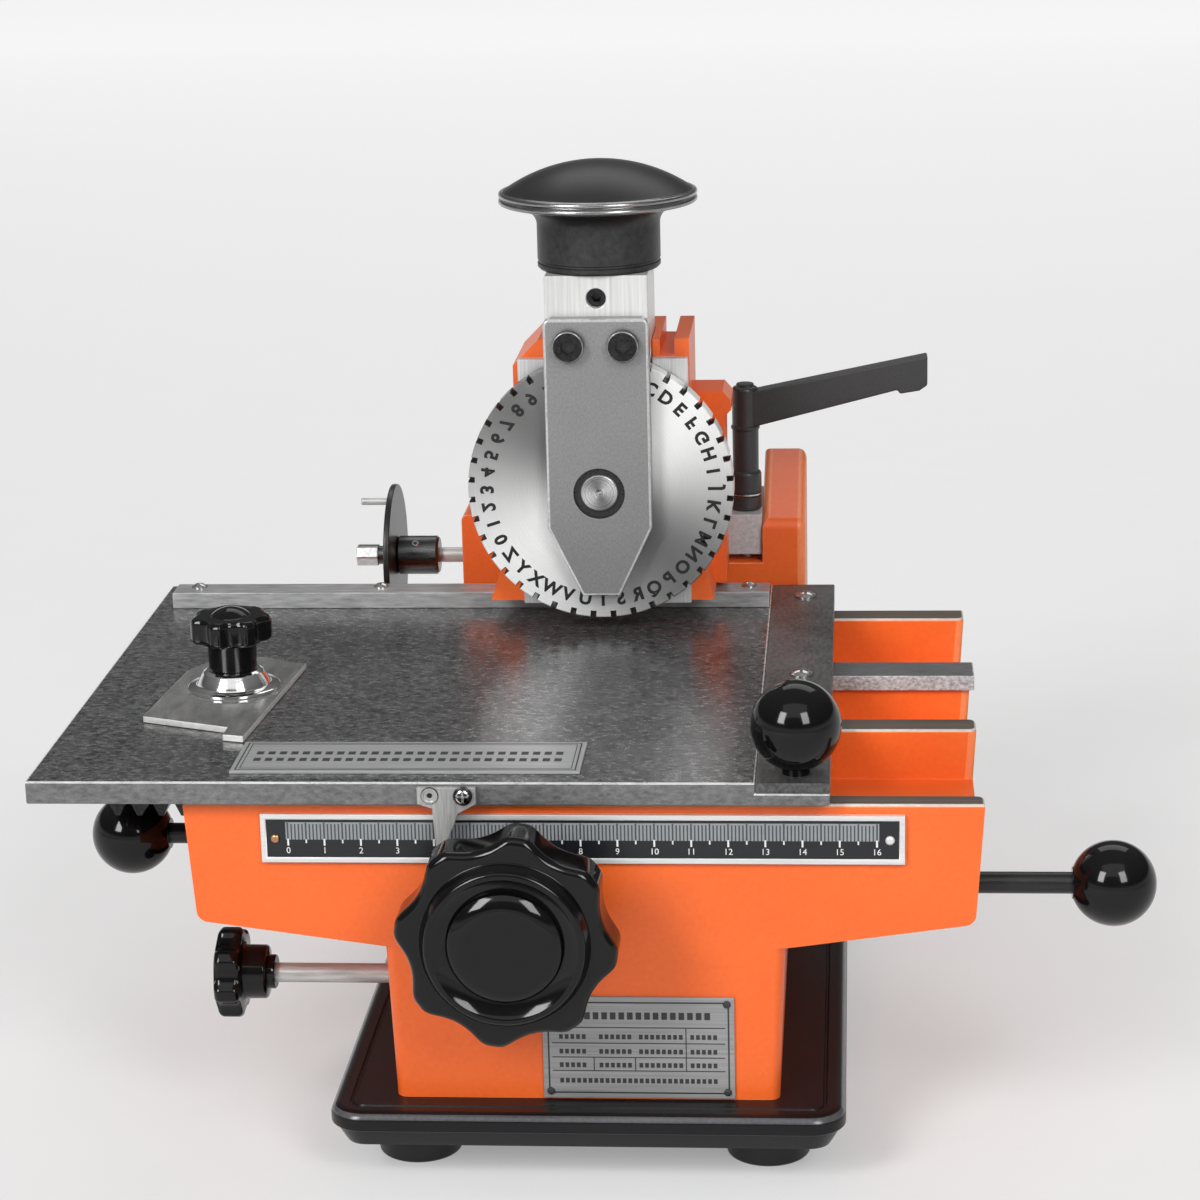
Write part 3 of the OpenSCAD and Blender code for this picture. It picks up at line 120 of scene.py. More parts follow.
def settle(piece, name, body, material, replaces=(), smooth=35):
    """A finished piece: its place in its mesh, smooth where it curves, on its body, in its finish."""
    bpy.ops.object.select_all(action="DESELECT")
    piece.select_set(True)
    bpy.context.view_layer.objects.active = piece
    bpy.ops.object.transform_apply(location=True, rotation=True, scale=True)
    bpy.ops.object.shade_smooth_by_angle(angle=math.radians(smooth))
    weigh = piece.modifiers.new("weigh", "WEIGHTED_NORMAL")
    weigh.keep_sharp = True
    bpy.ops.object.modifier_apply(modifier=weigh.name)
    piece.name = name
    piece.data.name = name
    if not piece.data.materials:
        piece.data.materials.append(material)
    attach(piece, body)
    if replaces:
        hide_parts(*replaces)
    return piece


def new_finish(name):
    """A material, its node tree and its shader."""
    material = bpy.data.materials.new(name)
    material.use_nodes = True
    return material, material.node_tree, material.node_tree.nodes["Principled BSDF"]


def put(tree, kind, settings=None, **values):
    """A node with its settings, and with plain values on its sockets."""
    made = tree.nodes.new(kind)
    for key, value in (settings or {}).items():
        setattr(made, key, value)
    for key, value in values.items():
        made.inputs[key.replace("_", " ")].default_value = value
    return made


# Shared surface grain: a slow cloud, a fine grain and a bump normal, from the piece's own place.
grain_group = bpy.data.node_groups.new("surface_grain", "ShaderNodeTree")
grain_group.interface.new_socket("Scale", in_out="INPUT", socket_type="NodeSocketFloat")
grain_group.interface.new_socket("Stretch", in_out="INPUT", socket_type="NodeSocketVector")
grain_group.interface.new_socket("Depth", in_out="INPUT", socket_type="NodeSocketFloat")
for socket, kind in (("Cloud", "Float"), ("Grain", "Float"), ("Normal", "Vector")):
    grain_group.interface.new_socket(socket, in_out="OUTPUT", socket_type="NodeSocket" + kind)
grain_in = grain_group.nodes.new("NodeGroupInput")
grain_out = grain_group.nodes.new("NodeGroupOutput")
grain_place = grain_group.nodes.new("ShaderNodeTexCoord")
grain_stretch = put(grain_group, "ShaderNodeVectorMath", {"operation": "MULTIPLY"})
grain_cloud = put(grain_group, "ShaderNodeTexNoise", Scale=26.0, Detail=3.0, Roughness=0.55)
grain_fine = put(grain_group, "ShaderNodeTexNoise", Detail=4.0, Roughness=0.6)
grain_bump = put(grain_group, "ShaderNodeBump", Distance=0.0004)
for a, b in (
    (grain_place.outputs["Object"], grain_stretch.inputs[0]),
    (grain_in.outputs["Stretch"], grain_stretch.inputs[1]),
    (grain_place.outputs["Object"], grain_cloud.inputs["Vector"]),
    (grain_stretch.outputs["Vector"], grain_fine.inputs["Vector"]),
    (grain_in.outputs["Scale"], grain_fine.inputs["Scale"]),
    (grain_in.outputs["Depth"], grain_bump.inputs["Strength"]),
    (grain_fine.outputs["Fac"], grain_bump.inputs["Height"]),
    (grain_cloud.outputs["Fac"], grain_out.inputs["Cloud"]),
    (grain_fine.outputs["Fac"], grain_out.inputs["Grain"]),
    (grain_bump.outputs["Normal"], grain_out.inputs["Normal"]),
):
    grain_group.links.new(a, b)


def grained(
    name, dark, light, rough, metallic=0.0, scale=700.0, stretch=(1, 1, 1), depth=0.1,
    coat=0.0, cloud=0.5, contrast=(0.3, 0.7), specular=0.5,
):
    """A finish whose colour runs between two tones and whose gloss varies with its grain."""
    material, tree, shader = new_finish(name)
    grain = put(tree, "ShaderNodeGroup", {"node_tree": grain_group}, Scale=scale, Stretch=stretch,
                Depth=depth)
    blend = put(tree, "ShaderNodeMix", {"data_type": "FLOAT"}, Factor=cloud)
    tones = put(tree, "ShaderNodeValToRGB")
    gloss = put(tree, "ShaderNodeMapRange", To_Min=rough[0], To_Max=rough[1])
    tones.color_ramp.elements[0].position, tones.color_ramp.elements[1].position = contrast
    tones.color_ramp.elements[0].color = (*dark, 1)
    tones.color_ramp.elements[1].color = (*light, 1)
    for a, b in (
        (grain.outputs["Grain"], blend.inputs["A"]),
        (grain.outputs["Cloud"], blend.inputs["B"]),
        (blend.outputs["Result"], tones.inputs["Fac"]),
        (grain.outputs["Grain"], gloss.inputs["Value"]),
        (tones.outputs["Color"], shader.inputs["Base Color"]),
        (gloss.outputs["Result"], shader.inputs["Roughness"]),
        (grain.outputs["Normal"], shader.inputs["Normal"]),
    ):
        tree.links.new(a, b)
    shader.inputs["Metallic"].default_value = metallic
    shader.inputs["Coat Weight"].default_value = coat
    shader.inputs["Coat Roughness"].default_value = 0.06
    shader.inputs["Specular IOR Level"].default_value = specular
    return material


base_black = grained(
    "satin_black_paint", (0.004, 0.004, 0.005), (0.008, 0.008, 0.009), (0.24, 0.36), scale=1500.0,
    depth=0.05, specular=0.28)
low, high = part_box("base_plate")
bead_low, tuck = low.z + 0.0056, 0.0044
base = slab((low.x, low.y, bead_low), high)
choose(base, "EDGE", lambda a, b: abs(a.z - b.z) > 0.003)
bpy.ops.mesh.bevel(offset=0.010, segments=12, affect="EDGES")
leave_edit()
choose(base, "FACE", lambda c, n: n.z > 0.9)
bpy.ops.mesh.inset(thickness=0.0052, depth=0)
bpy.ops.mesh.inset(thickness=0.0004, depth=-0.0005)
bpy.ops.mesh.inset(thickness=0.0005, depth=0)
bpy.ops.mesh.inset(thickness=0.0004, depth=0.0005)
leave_edit()
choose(base, "FACE", lambda c, n: n.z < -0.9)
bpy.ops.mesh.inset(thickness=0.0007, depth=0)
bpy.ops.mesh.inset(thickness=0.0001, depth=-0.0004)
bpy.ops.mesh.inset(thickness=tuck - 0.0016, depth=0.0048)
bpy.ops.mesh.inset(thickness=0.0008, depth=0.0012)
leave_edit()

def rim_gap(p):
    """How far a point lies inside the rounded outline of the base."""
    x, y = (abs(v - (a + b) / 2) - (b - a) / 2 + 0.010 for v, a, b in zip(p[:2], low[:2], high[:2]))
    return 0.010 - math.hypot(max(x, 0), max(y, 0)) - min(max(x, y), 0)


for edge_z, offset, segments in ((high.z, 0.0030, 8), (bead_low, 0.0006, 3)):
    choose(base, "EDGE", lambda a, b: max(
        abs(a.z - edge_z), abs(b.z - edge_z), rim_gap(a), rim_gap(b)) < 1e-4)
    bpy.ops.mesh.bevel(offset=offset, segments=segments, affect="EDGES", clamp_overlap=True)
    leave_edit()
# A painted highlight: the sloping crown of the bead takes a lighter black, standing in for the light along
# it.
bead_painted_highlight = grained(
    "painted_highlight_on_bead", (0.05, 0.05, 0.055), (0.10, 0.10, 0.105), (0.18, 0.28), scale=900.0, depth=0.04,
    specular=0.5)
base.data.materials.append(base_black)
base.data.materials.append(bead_painted_highlight)
for face in base.data.polygons:
    if 0.35 < face.normal.z < 0.8 and face.center.z > bead_low and rim_gap(face.center) < 0.003:
        face.material_index = 1
settle(base, "base_tray", "frame", base_black, ["base_plate"])


# Rubber feet: four turned cushions with a bored recess for the screw head, moulded in black rubber
# and slightly shiny on their sides.
def turned(outline, steps=96, lobe=None):
    """A round piece built up ring by ring along Z, from (radius, height) pairs in millimetres."""
    piece = start(bpy.ops.mesh.primitive_circle_add, vertices=steps, radius=0.01, fill_type="NGON")
    piece.data.vertices.foreach_set("select", [True] * steps)
    for i, (radius, height) in enumerate(outline):
        bpy.ops.object.mode_set(mode="EDIT")
        if i:
            bpy.ops.mesh.extrude_region_move()
        else:
            bpy.ops.mesh.select_all(action="SELECT")
        leave_edit()
        for v in piece.data.vertices:
            if v.select:
                a = math.atan2(v.co.y, v.co.x)
                r = (lobe(a, radius) if lobe else radius) * 0.001
                v.co = (r * math.cos(a), r * math.sin(a), height * 0.001)
    bpy.ops.object.mode_set(mode="EDIT")
    bpy.ops.mesh.select_all(action="SELECT")
    bpy.ops.mesh.remove_doubles(threshold=1e-7)
    bpy.ops.mesh.normals_make_consistent(inside=False)
    leave_edit()
    return piece


def bow(r, h, size, first, last, count=6):
    """Points along an arc of an outline, round (r, h), between two angles in degrees."""
    turns = [math.radians(first + (last - first) * i / count) for i in range(count + 1)]
    return [(r + size * math.cos(a), h + size * math.sin(a)) for a in turns]


def joined(parts):
    """Several parts as one object."""
    bpy.ops.object.select_all(action="DESELECT")
    for part in parts:
        part.select_set(True)
    bpy.context.view_layer.objects.active = parts[0]
    bpy.ops.object.join()
    return bpy.context.active_object


def copies(piece, places):
    """The piece modelled once, and a copy with its own mesh at each further place."""
    piece.location = places[0]
    made = [piece]
    for place in places[1:]:
        bpy.ops.object.select_all(action="DESELECT")
        piece.select_set(True)
        bpy.context.view_layer.objects.active = piece
        bpy.ops.object.duplicate()
        bpy.context.active_object.location = place
        made.append(bpy.context.active_object)
    return made


foot_rubber = grained(
    "black_rubber", (0.007, 0.007, 0.007), (0.014, 0.014, 0.014), (0.32, 0.5), scale=2200.0, depth=0.08,
    specular=0.4)
foot_low, foot_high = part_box("rubber_feet")
foot_r = 0.0125
foot = turned(
    [(4.1, 5), (4.1, 0.6), (4.6, 0), (10.6, 0)] + bow(10.6, 1.2, 1.2, -90, -8)
    + [(12.4, 5.6), (12.5, 6.4), (12.5, 10.8)] + bow(11.5, 11, 1, 0, 90, 4))
feet = copies(foot, [(x, y, 0) for x in (foot_low.x + foot_r, foot_high.x - foot_r)
                     for y in (foot_low.y + foot_r, foot_high.y - foot_r)])
settle(joined(feet), "foot_cushions", "frame", foot_rubber, ["rubber_feet"])


# Body casting: one aluminium casting, pedestal and two wings, under thick orange enamel. Its ribs
# are planed bare on top where the table runs over them.
def prism(outline, low, high, axis="Y"):
    """A flat outline in millimetres drawn out between two depths, along Y, X or Z."""
    piece = start(bpy.ops.mesh.primitive_circle_add, vertices=len(outline), radius=0.01, fill_type="NGON")
    for v, (p, q) in zip(piece.data.vertices, outline):
        v.co = {"Y": (p, low, q), "X": (low, p, q), "Z": (p, q, low)}[axis]
        v.co *= 0.001
    step = (high - low) * 0.001
    bpy.ops.object.mode_set(mode="EDIT")
    bpy.ops.mesh.select_all(action="SELECT")
    bpy.ops.mesh.extrude_region_move(TRANSFORM_OT_translate={
        "value": {"Y": (0, step, 0), "X": (step, 0, 0), "Z": (0, 0, step)}[axis]})
    bpy.ops.mesh.select_all(action="SELECT")
    bpy.ops.mesh.normals_make_consistent(inside=False)
    leave_edit()
    return piece


def carve(piece, tool, way="DIFFERENCE"):
    """A tool cut out of a piece, or joined to it."""
    cut = piece.modifiers.new("cut", "BOOLEAN")
    cut.operation = way
    cut.solver = "EXACT"
    cut.object = tool
    bpy.context.view_layer.objects.active = piece
    bpy.ops.object.modifier_apply(modifier=cut.name)
    bpy.data.objects.remove(tool)


def flatten(piece):
    """Faces that lie in one plane become one face again."""
    bpy.ops.object.select_all(action="DESELECT")
    piece.select_set(True)
    bpy.context.view_layer.objects.active = piece
    bpy.ops.object.mode_set(mode="EDIT")
    bpy.ops.mesh.select_all(action="SELECT")
    bpy.ops.mesh.remove_doubles(threshold=1e-6)
    bpy.ops.mesh.dissolve_limited(angle_limit=math.radians(0.3))
    leave_edit()


def block_mm(low, high):
    return slab([v * 0.001 for v in low], [v * 0.001 for v in high])


orange = grained(
    "orange_enamel", (0.80, 0.118, 0.014), (0.90, 0.150, 0.022), (0.32, 0.48), scale=620.0, depth=0.10,
    coat=0.1)
planed = grained(
    "planed_aluminium", (0.060, 0.044, 0.033), (0.165, 0.122, 0.094), (0.36, 0.52), metallic=0.3,
    scale=260.0, stretch=(0.05, 4, 4), depth=0.12, cloud=0.15)
# A painted highlight: the narrow strips that round the castings' edges take a lighter orange, standing in
# for the light along the edges.
edge_highlight_orange = grained(
    "orange_enamel_painted_edge_highlight", (0.86, 0.19, 0.05), (0.94, 0.27, 0.09), (0.32, 0.46), scale=620.0, depth=0.06,
    coat=0.1)
mid_x, mid_y = 2.5, 109.5
casting_low, casting_high = (v * 1000 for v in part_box("body_casting"))
floor_z, rib_z = casting_low.z, casting_high.z
valley_z, wing_z = rib_z - 15, rib_z - 34.8
wing_half, wing_lean, knee_half, foot_half = 109, 2.2, 55, 53.3
wing_back, pedestal_back = 193, 245
corner = bow(wing_half - wing_lean - 3.3, wing_z + 3.3, 3.3, -82, -4, 6)
right_side = [(knee_half, wing_z - 6.8)] + corner + [(wing_half, rib_z)]
wing_outline = right_side + [(-x, z) for x, z in reversed(right_side)]
pedestal_outline = [(-foot_half, floor_z), (foot_half, floor_z), (knee_half, wing_z - 6.8),
                    (knee_half, valley_z - 2), (-knee_half, valley_z - 2), (-knee_half, wing_z - 6.8)]
place = lambda points: [(x - mid_x, z) for x, z in points]
casting = prism(place(wing_outline), -mid_y, wing_back - mid_y)
stem = prism(place(pedestal_outline), -mid_y, pedestal_back - mid_y)
choose(stem, "EDGE", lambda a, b: abs(a.z - b.z) > 0.01)
bpy.ops.mesh.bevel(offset=0.003, segments=5, affect="EDGES")
leave_edit()
carve(casting, stem, "UNION")
valleys = [(7.6, 65.7), (76.2, 118), (129, 182.5)]
for front, back in valleys:
    carve(casting, block_mm((-130, front - mid_y, valley_z), (130, back - mid_y, rib_z + 5)))
carve(casting, block_mm((-130, 117 - mid_y, rib_z - 3.8), (130, 130 - mid_y, rib_z + 5)))
shelf = block_mm((-knee_half - mid_x, wing_back - 1 - mid_y, valley_z - 3),
                 (knee_half - mid_x, pedestal_back - mid_y, valley_z))
carve(casting, shelf, "UNION")
carve(casting, block_mm((-45.7 - mid_x, 7.6 - mid_y, floor_z - 1),
                        (45.7 - mid_x, 237.4 - mid_y, valley_z - 6.4)))
carve(casting, block_mm((-40.5, 28 - mid_y, valley_z - 8), (-0.5, 42 - mid_y, valley_z + 1)))
flatten(casting)
wing_end = lambda p: abs(p.x * 1000 + mid_x) > wing_half - 3.2
choose(casting, "EDGE", lambda a, b: 0.008 < abs(a.z - b.z) < 0.016 and abs(a.y - b.y) < 1e-5 and wing_end(a)
       and wing_end(b))
bpy.ops.mesh.bevel(offset=0.0024, segments=5, affect="EDGES", clamp_overlap=True)
leave_edit()
bpy.ops.object.mode_set(mode="EDIT")
bpy.ops.mesh.select_all(action="DESELECT")
bpy.ops.mesh.edges_select_sharp(sharpness=math.radians(40))
leave_edit()
rib_rim = [edge.select and all(casting.data.vertices[v].co.z > (rib_z - 0.01) * 0.001 for v in edge.vertices)
           for edge in casting.data.edges]
choose(casting, "EDGE", lambda a, b: False)
leave_edit()
casting.data.edges.foreach_set("select", rib_rim)
bpy.ops.object.mode_set(mode="EDIT")
bpy.ops.mesh.bevel(offset=0.0010, segments=4, affect="EDGES", clamp_overlap=False)
leave_edit()
round_edges(casting, 0.0010, 3, 25)


def narrow(piece, face):
    """Whether a face is one of the thin strips that round an edge."""
    length = max((piece.data.vertices[a].co - piece.data.vertices[b].co).length for a, b in face.edge_keys)
    return face.area < length * 0.0007


# A painted highlight: the rounded top edges of the ribs take a pale steel, lighter than the planed tops,
# standing in for the light along them.
painted_rib_highlight = grained(
    "rib_painted_edge_highlight", (0.46, 0.42, 0.38), (0.72, 0.68, 0.64), (0.3, 0.44), metallic=0.2, scale=500.0,
    depth=0.08)
for finish in (orange, planed, edge_highlight_orange, painted_rib_highlight):
    casting.data.materials.append(finish)
for face in casting.data.polygons:
    if face.normal.z > 0.98 and face.center.z > (rib_z - 0.2) * 0.001:
        face.material_index = 1
    elif narrow(casting, face):
        face.material_index = 3 if face.center.z > (rib_z - 1.0) * 0.001 and face.normal.z > 0.4 else 2
settle(casting, "casting_body", "frame", orange, ["body_casting"])


# Guide rail and the machine's bright steel: a ground flat bar screwed on the third rib. The table's
# gibs hook under its edges. Ends and edges are lightly broken with a file.
def steel(name, dark, light, rough, stretch, scale=420.0, depth=0.10, cloud=0.2, contrast=(0.3, 0.7),
          metallic=1.0):
    """Steel with the fine lines that grinding or brushing leaves, along the short side of stretch."""
    return grained(name, dark, light, rough, metallic=metallic, scale=scale, stretch=stretch, depth=depth,
                   cloud=cloud, contrast=contrast)


def eased_slab(node, name, body, material, width=0.0004, segments=2):
    """A plain bar or plate at its node's place, with its edges broken."""
    piece = slab(*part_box(node))
    round_edges(piece, width, segments)
    return settle(piece, name, body, material, [node])


rail_top = steel("ground_rail_top", (0.10, 0.10, 0.10), (0.24, 0.24, 0.24), (0.3, 0.45), (0.3, 2, 2),
                 scale=700.0, metallic=0.5)
rail_face = steel("speckled_rail_face", (0.20, 0.205, 0.21), (0.60, 0.61, 0.62), (0.34, 0.5), (0.7, 1, 1),
                  scale=1100.0, contrast=(0.36, 0.64), metallic=0.15)
rail = slab(*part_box("guide_rail"))
round_edges(rail, 0.0004, 2)
for finish in (rail_face, rail_top):
    rail.data.materials.append(finish)
for face in rail.data.polygons:
    face.material_index = 1 if face.normal.z > 0.98 else 0
settle(rail, "rail_bar", "frame", rail_face, ["guide_rail"])


# Centimetre scale: an aluminium bezel riveted to the casting. Its strip is printed grey above and
# black below, with millimetre lines, centimetre ticks and plain numbers.
def printed(name, tone, rough=0.45):
    """A flat printed ink, a little worn."""
    dark = [v * 0.8 for v in tone]
    return grained(name, dark, tone, (rough - 0.08, rough + 0.1), scale=1800.0, depth=0.03)


def ticks(first, step, count, low_z, high_z, width, y):
    """A row of upright lines, one modelled and the rest set out beside it, in millimetres."""
    line = start(bpy.ops.mesh.primitive_plane_add, size=0.001, rotation=(math.pi / 2, 0, 0))
    line.scale = (width, high_z - low_z, 1)
    line.location = (first * 0.001, y * 0.001, (low_z + high_z) * 0.0005)
    bpy.ops.object.transform_apply(location=True, rotation=True, scale=True)
    row = line.modifiers.new("row", "ARRAY")
    row.use_relative_offset = False
    row.use_constant_offset = True
    row.constant_offset_displace = (step * 0.001, 0, 0)
    row.count = count
    bpy.ops.object.modifier_apply(modifier=row.name)
    return line


def lettering(words, size, x, y, z, turn=(math.pi / 2, 0, 0), reverse=False):
    """Plain characters as a flat mesh, centred on a place in millimetres, or in reverse as on type."""
    text = start(bpy.ops.object.text_add)
    text.data.body = words
    text.data.size = size * 0.001
    text.data.align_x = "CENTER"
    text.data.align_y = "CENTER"
    text.data.resolution_u = 3
    text.data.offset = size * 0.00004 if reverse else 0
    bpy.ops.object.convert(target="MESH")
    flat = bpy.context.active_object
    if reverse:
        flat.scale.x = -1
        bpy.ops.object.transform_apply(location=False, rotation=False, scale=True)
        choose(flat, "FACE", lambda c, n: n.z < 0)
        bpy.ops.mesh.flip_normals()
        leave_edit()
    flat.rotation_euler = turn
    flat.location = (x * 0.001, y * 0.001, z * 0.001)
    bpy.ops.object.transform_apply(location=True, rotation=True, scale=True)
    return flat


bezel_silver = grained(
    "bezel_aluminium", (0.66, 0.66, 0.66), (0.82, 0.82, 0.81), (0.3, 0.42), metallic=0.45, scale=500.0,
    stretch=(0.06, 4, 4), depth=0.05, cloud=0.3)
scale_grey = printed("scale_grey_ink", (0.30, 0.32, 0.335), 0.38)
scale_black = printed("scale_black_ink", (0.010, 0.011, 0.014), 0.32)
scale_white = printed("scale_white_ink", (0.82, 0.82, 0.80), 0.45)
scale_dark = printed("scale_line_ink", (0.06, 0.065, 0.07), 0.45)
copper = steel("rivet_copper", (0.46, 0.22, 0.10), (0.66, 0.36, 0.20), (0.25, 0.4), (1, 1, 1), scale=900.0)
bezel_low, bezel_high = (v * 1000 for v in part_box("ruler_bezel"))
bezel = slab(*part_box("ruler_bezel"))
choose(bezel, "FACE", lambda c, n: n.y < -0.9)
bpy.ops.mesh.inset(thickness=0.0014, depth=0)
bpy.ops.mesh.inset(thickness=0.0003, depth=-0.0006)
leave_edit()
choose(bezel, "EDGE", lambda a, b: max(a.y, b.y) < bezel_low.y * 0.001 + 1e-5)
bpy.ops.mesh.bevel(offset=0.00025, segments=2, affect="EDGES")
leave_edit()
settle(bezel, "scale_bezel", "frame", bezel_silver, ["ruler_bezel"])
strip_low, strip_high = (v * 1000 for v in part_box("ruler_scale"))
print_y = strip_low.y
strip_lap = Vector((0.5, 0, 0.5))
strip = block_mm(strip_low - strip_lap, strip_high + strip_lap)
settle(strip, "scale_strip", "frame", scale_black, ["ruler_scale"])
zero_x, centimetre = -80 - mid_x, 10.0
line_z = strip_low.z + (strip_high.z - strip_low.z) * 0.47
band = block_mm((zero_x - 0.6, print_y - 0.03, line_z), (zero_x + 160.6, print_y + 0.05, strip_high.z - 0.1))
settle(band, "scale_grey_band", "frame", scale_grey)
fine = ticks(zero_x, 1.0, 161, line_z, strip_high.z - 0.6, 0.4, print_y - 0.05)
fives = ticks(zero_x, 5.0, 33, line_z, strip_high.z - 0.2, 0.46, print_y - 0.06)
settle(joined([fine, fives]), "scale_millimetre_lines", "frame", scale_dark)
halves = ticks(zero_x, 5.0, 33, line_z - 1.0, line_z + 0.25, 0.42, print_y - 0.06)
wholes = ticks(zero_x, centimetre, 17, line_z - 1.7, line_z + 0.25, 0.5, print_y - 0.07)
figures = [lettering(str(i), 2.5, zero_x + i * centimetre, print_y - 0.06, strip_low.z + 1.35)
           for i in range(17)]
settle(joined([halves, wholes] + figures), "scale_figures", "frame", scale_white)
scale_rivet_z = (strip_low.z + strip_high.z) / 2
rivet = turned([(1.3, 0)] + bow(0.5, 0, 0.8, 0, 80, 4) + [(0.3, 0.8)], 32)
rivet.rotation_euler = (math.pi / 2, 0, 0)
scale_rivets = copies(rivet, [(x * 0.001, (print_y + 0.02) * 0.001, scale_rivet_z * 0.001)
                              for x in (bezel_low.x + 4, bezel_high.x - 4)])
for rivet, finish in zip(scale_rivets, (copper, bezel_silver)):
    rivet.data.materials.append(finish)
settle(joined(scale_rivets), "scale_rivets", "frame", copper)


# Data plate: a thin anodised plate riveted to the pedestal's front. It carries no words, only a line
# border, ruled rows and plain dashes.
def line_frame(low_x, high_x, low_z, high_z, width, y):
    """Four printed lines round a field on an upright plate, in millimetres."""
    bars = [(low_x, high_x, low_z, low_z + width), (low_x, high_x, high_z - width, high_z),
            (low_x, low_x + width, low_z, high_z), (high_x - width, high_x, low_z, high_z)]
    return [block_mm((a, y - 0.03, c), (b, y + 0.02, d)) for a, b, c, d in bars]


plate_grey = grained(
    "data_plate_aluminium", (0.24, 0.242, 0.245), (0.38, 0.382, 0.385), (0.34, 0.5), metallic=0.3,
    scale=420.0, stretch=(0.06, 4, 4), depth=0.08, cloud=0.25)
plate_ink = printed("plate_line_ink", (0.03, 0.03, 0.032), 0.5)
data_low, data_high = (v * 1000 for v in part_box("data_plate"))
data = slab(*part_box("data_plate"))
round_edges(data, 0.0002, 2)
settle(data, "data_plate_sheet", "frame", plate_grey, ["data_plate"])
rows = line_frame(data_low.x + 1.4, data_high.x - 1.4, data_low.z + 1.4, data_high.z - 1.4, 0.45, data_low.y)
data_w, data_h = data_high.x - data_low.x, data_high.z - data_low.z


def data_mark(x, z, wide, tall):
    """A flat printed mark on the data plate, from its lower left corner, in millimetres."""
    return block_mm((x, data_low.y - 0.03, z), (x + wide, data_low.y + 0.02, z + tall))


for share in (0.267, 0.40, 0.54, 0.694):
    rows.append(data_mark(data_low.x + 2.6, data_low.z + data_h * share, data_w - 5.2, 0.3))
splits = [data_low.x + data_w * share for share in (0.264, 0.48, 0.745)]
for x, last in zip(splits, (0.40, 0.40, 0.694)):
    rows.append(data_mark(x, data_low.z + data_h * 0.267, 0.3, data_h * (last - 0.267)))
for share, tall in ((0.15, 1.4), (0.305, 1.4), (0.44, 1.4), (0.585, 1.4), (0.78, 2.1)):
    dash_w = tall * 0.75
    x = data_low.x + 4.6
    while x < data_high.x - 4.6 - dash_w:
        if share in (0.15, 0.78) or min(abs(x + dash_w / 2 - split) for split in splits) > 1.2:
            rows.append(data_mark(x, data_low.z + data_h * share, dash_w, tall))
        x += dash_w * 1.5
settle(joined(rows), "data_plate_lines", "frame", plate_ink)
data_rivet = turned([(1.1, 0)] + bow(0.5, 0, 0.6, 0, 80, 4) + [(0.3, 0.6)], 32)
data_rivet.rotation_euler = (math.pi / 2, 0, 0)
data_rivets = copies(data_rivet, [(x * 0.001, data_low.y * 0.001, z * 0.001)
                                  for x in (data_low.x + 2, data_high.x - 2)
                                  for z in (data_low.z + 2, data_high.z - 2)])
settle(joined(data_rivets), "data_plate_rivets", "frame", plate_ink, ["plate_rivets"])


# Rear column: a second orange casting bolted up from inside the pedestal. The head slides in its
# channel between a low left wall and a tall right one.
def orange_edges(piece, name, body, node, width=0.0011):
    flatten(piece)
    round_edges(piece, width, 3, 25)
    piece.data.materials.append(orange)
    piece.data.materials.append(edge_highlight_orange)
    # The narrow edge strips take the lighter orange of the painted edge highlight.
    for face in piece.data.polygons:
        face.material_index = 1 if narrow(piece, face) else 0
    return settle(piece, name, body, orange, [node])


column_low, column_high = (v * 1000 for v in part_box("rear_column"))
channel_z, left_z, right_z, right_front_z = 123.5, 140.0, column_high.z, 137.3
channel_left, channel_right = -40.5 - mid_x, 44 - mid_x
column_outline = (
    [(column_low.x, valley_z), (column_high.x, valley_z), (column_high.x, right_z), (channel_right, right_z),
     (channel_right, channel_z), (channel_left, channel_z)]
    + bow(channel_left - 2, left_z - 2, 2, 0, 90, 4) + bow(column_low.x + 2, left_z - 2, 2, 90, 180, 4))
column = prism(column_outline, column_low.y, column_high.y)
slope = prism([(column_low.y - 1, right_front_z), (column_low.y, right_front_z), (column_high.y, right_z),
               (column_high.y, right_z + 1), (column_low.y - 1, right_z + 1)], channel_right - 1,
               column_high.x + 1, "X")
carve(column, slope)
pinion_low, pinion_high = (v * 1000 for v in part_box("line_pinion"))
carve(column, block_mm(pinion_low - Vector((0.6, 1.6, 1.6)),
                       (pinion_high.x + 0.6, pinion_high.y + 1.6, channel_z + 1)))
flatten(column)
wall_top = lambda p: p.x * 1000 > channel_right - 0.1 and p.z * 1000 > right_front_z - 0.1
choose(column, "EDGE", lambda a, b: (wall_top(a) and wall_top(b)) or (
    abs(a.z - b.z) > 0.01 and min(a.x, b.x) * 1000 > column_high.x - 0.1))
bpy.ops.mesh.bevel(offset=0.0026, segments=6, affect="EDGES", clamp_overlap=True)
leave_edit()
orange_edges(column, "column_casting", "frame", "rear_column")
keeper_steel = steel("keeper_steel", (0.44, 0.442, 0.445), (0.66, 0.66, 0.66), (0.28, 0.42), (1, 1, 1),
                     scale=900.0, metallic=0.25)
keeper = slab(*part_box("keeper_bar"))
round_edges(keeper, 0.0006, 2)
settle(keeper, "keeper_block", "frame", keeper_steel, ["keeper_bar"])


# Handwheel: moulded in glossy black plastic with eight finger lobes, a face dished inside a raised
# ring, and a low cap pressed into the middle. It is keyed to the feed pinion's shaft.
def lobed(outer, lobes, depth, width, turn=0.0, blunt=1.2):
    """The radius of a rim with round scallops between its lobes; inner rings fade to a circle."""
    middle = outer + width - depth

    def radius(angle, ring):
        pitch = 2 * math.pi / lobes
        a = (angle - math.radians(turn)) % pitch - pitch / 2
        inside = width * width - (middle * math.sin(a)) ** 2
        cut = middle * math.cos(a) - math.sqrt(inside) if inside > 0 else outer + 5
        rim = -blunt * math.log(math.exp(-outer / blunt) + math.exp(-cut / blunt))
        fade = min(max((ring - outer * 0.80) / (outer * 0.12), 0), 1)
        return ring * (1 - fade + fade * rim / outer)

    return radius


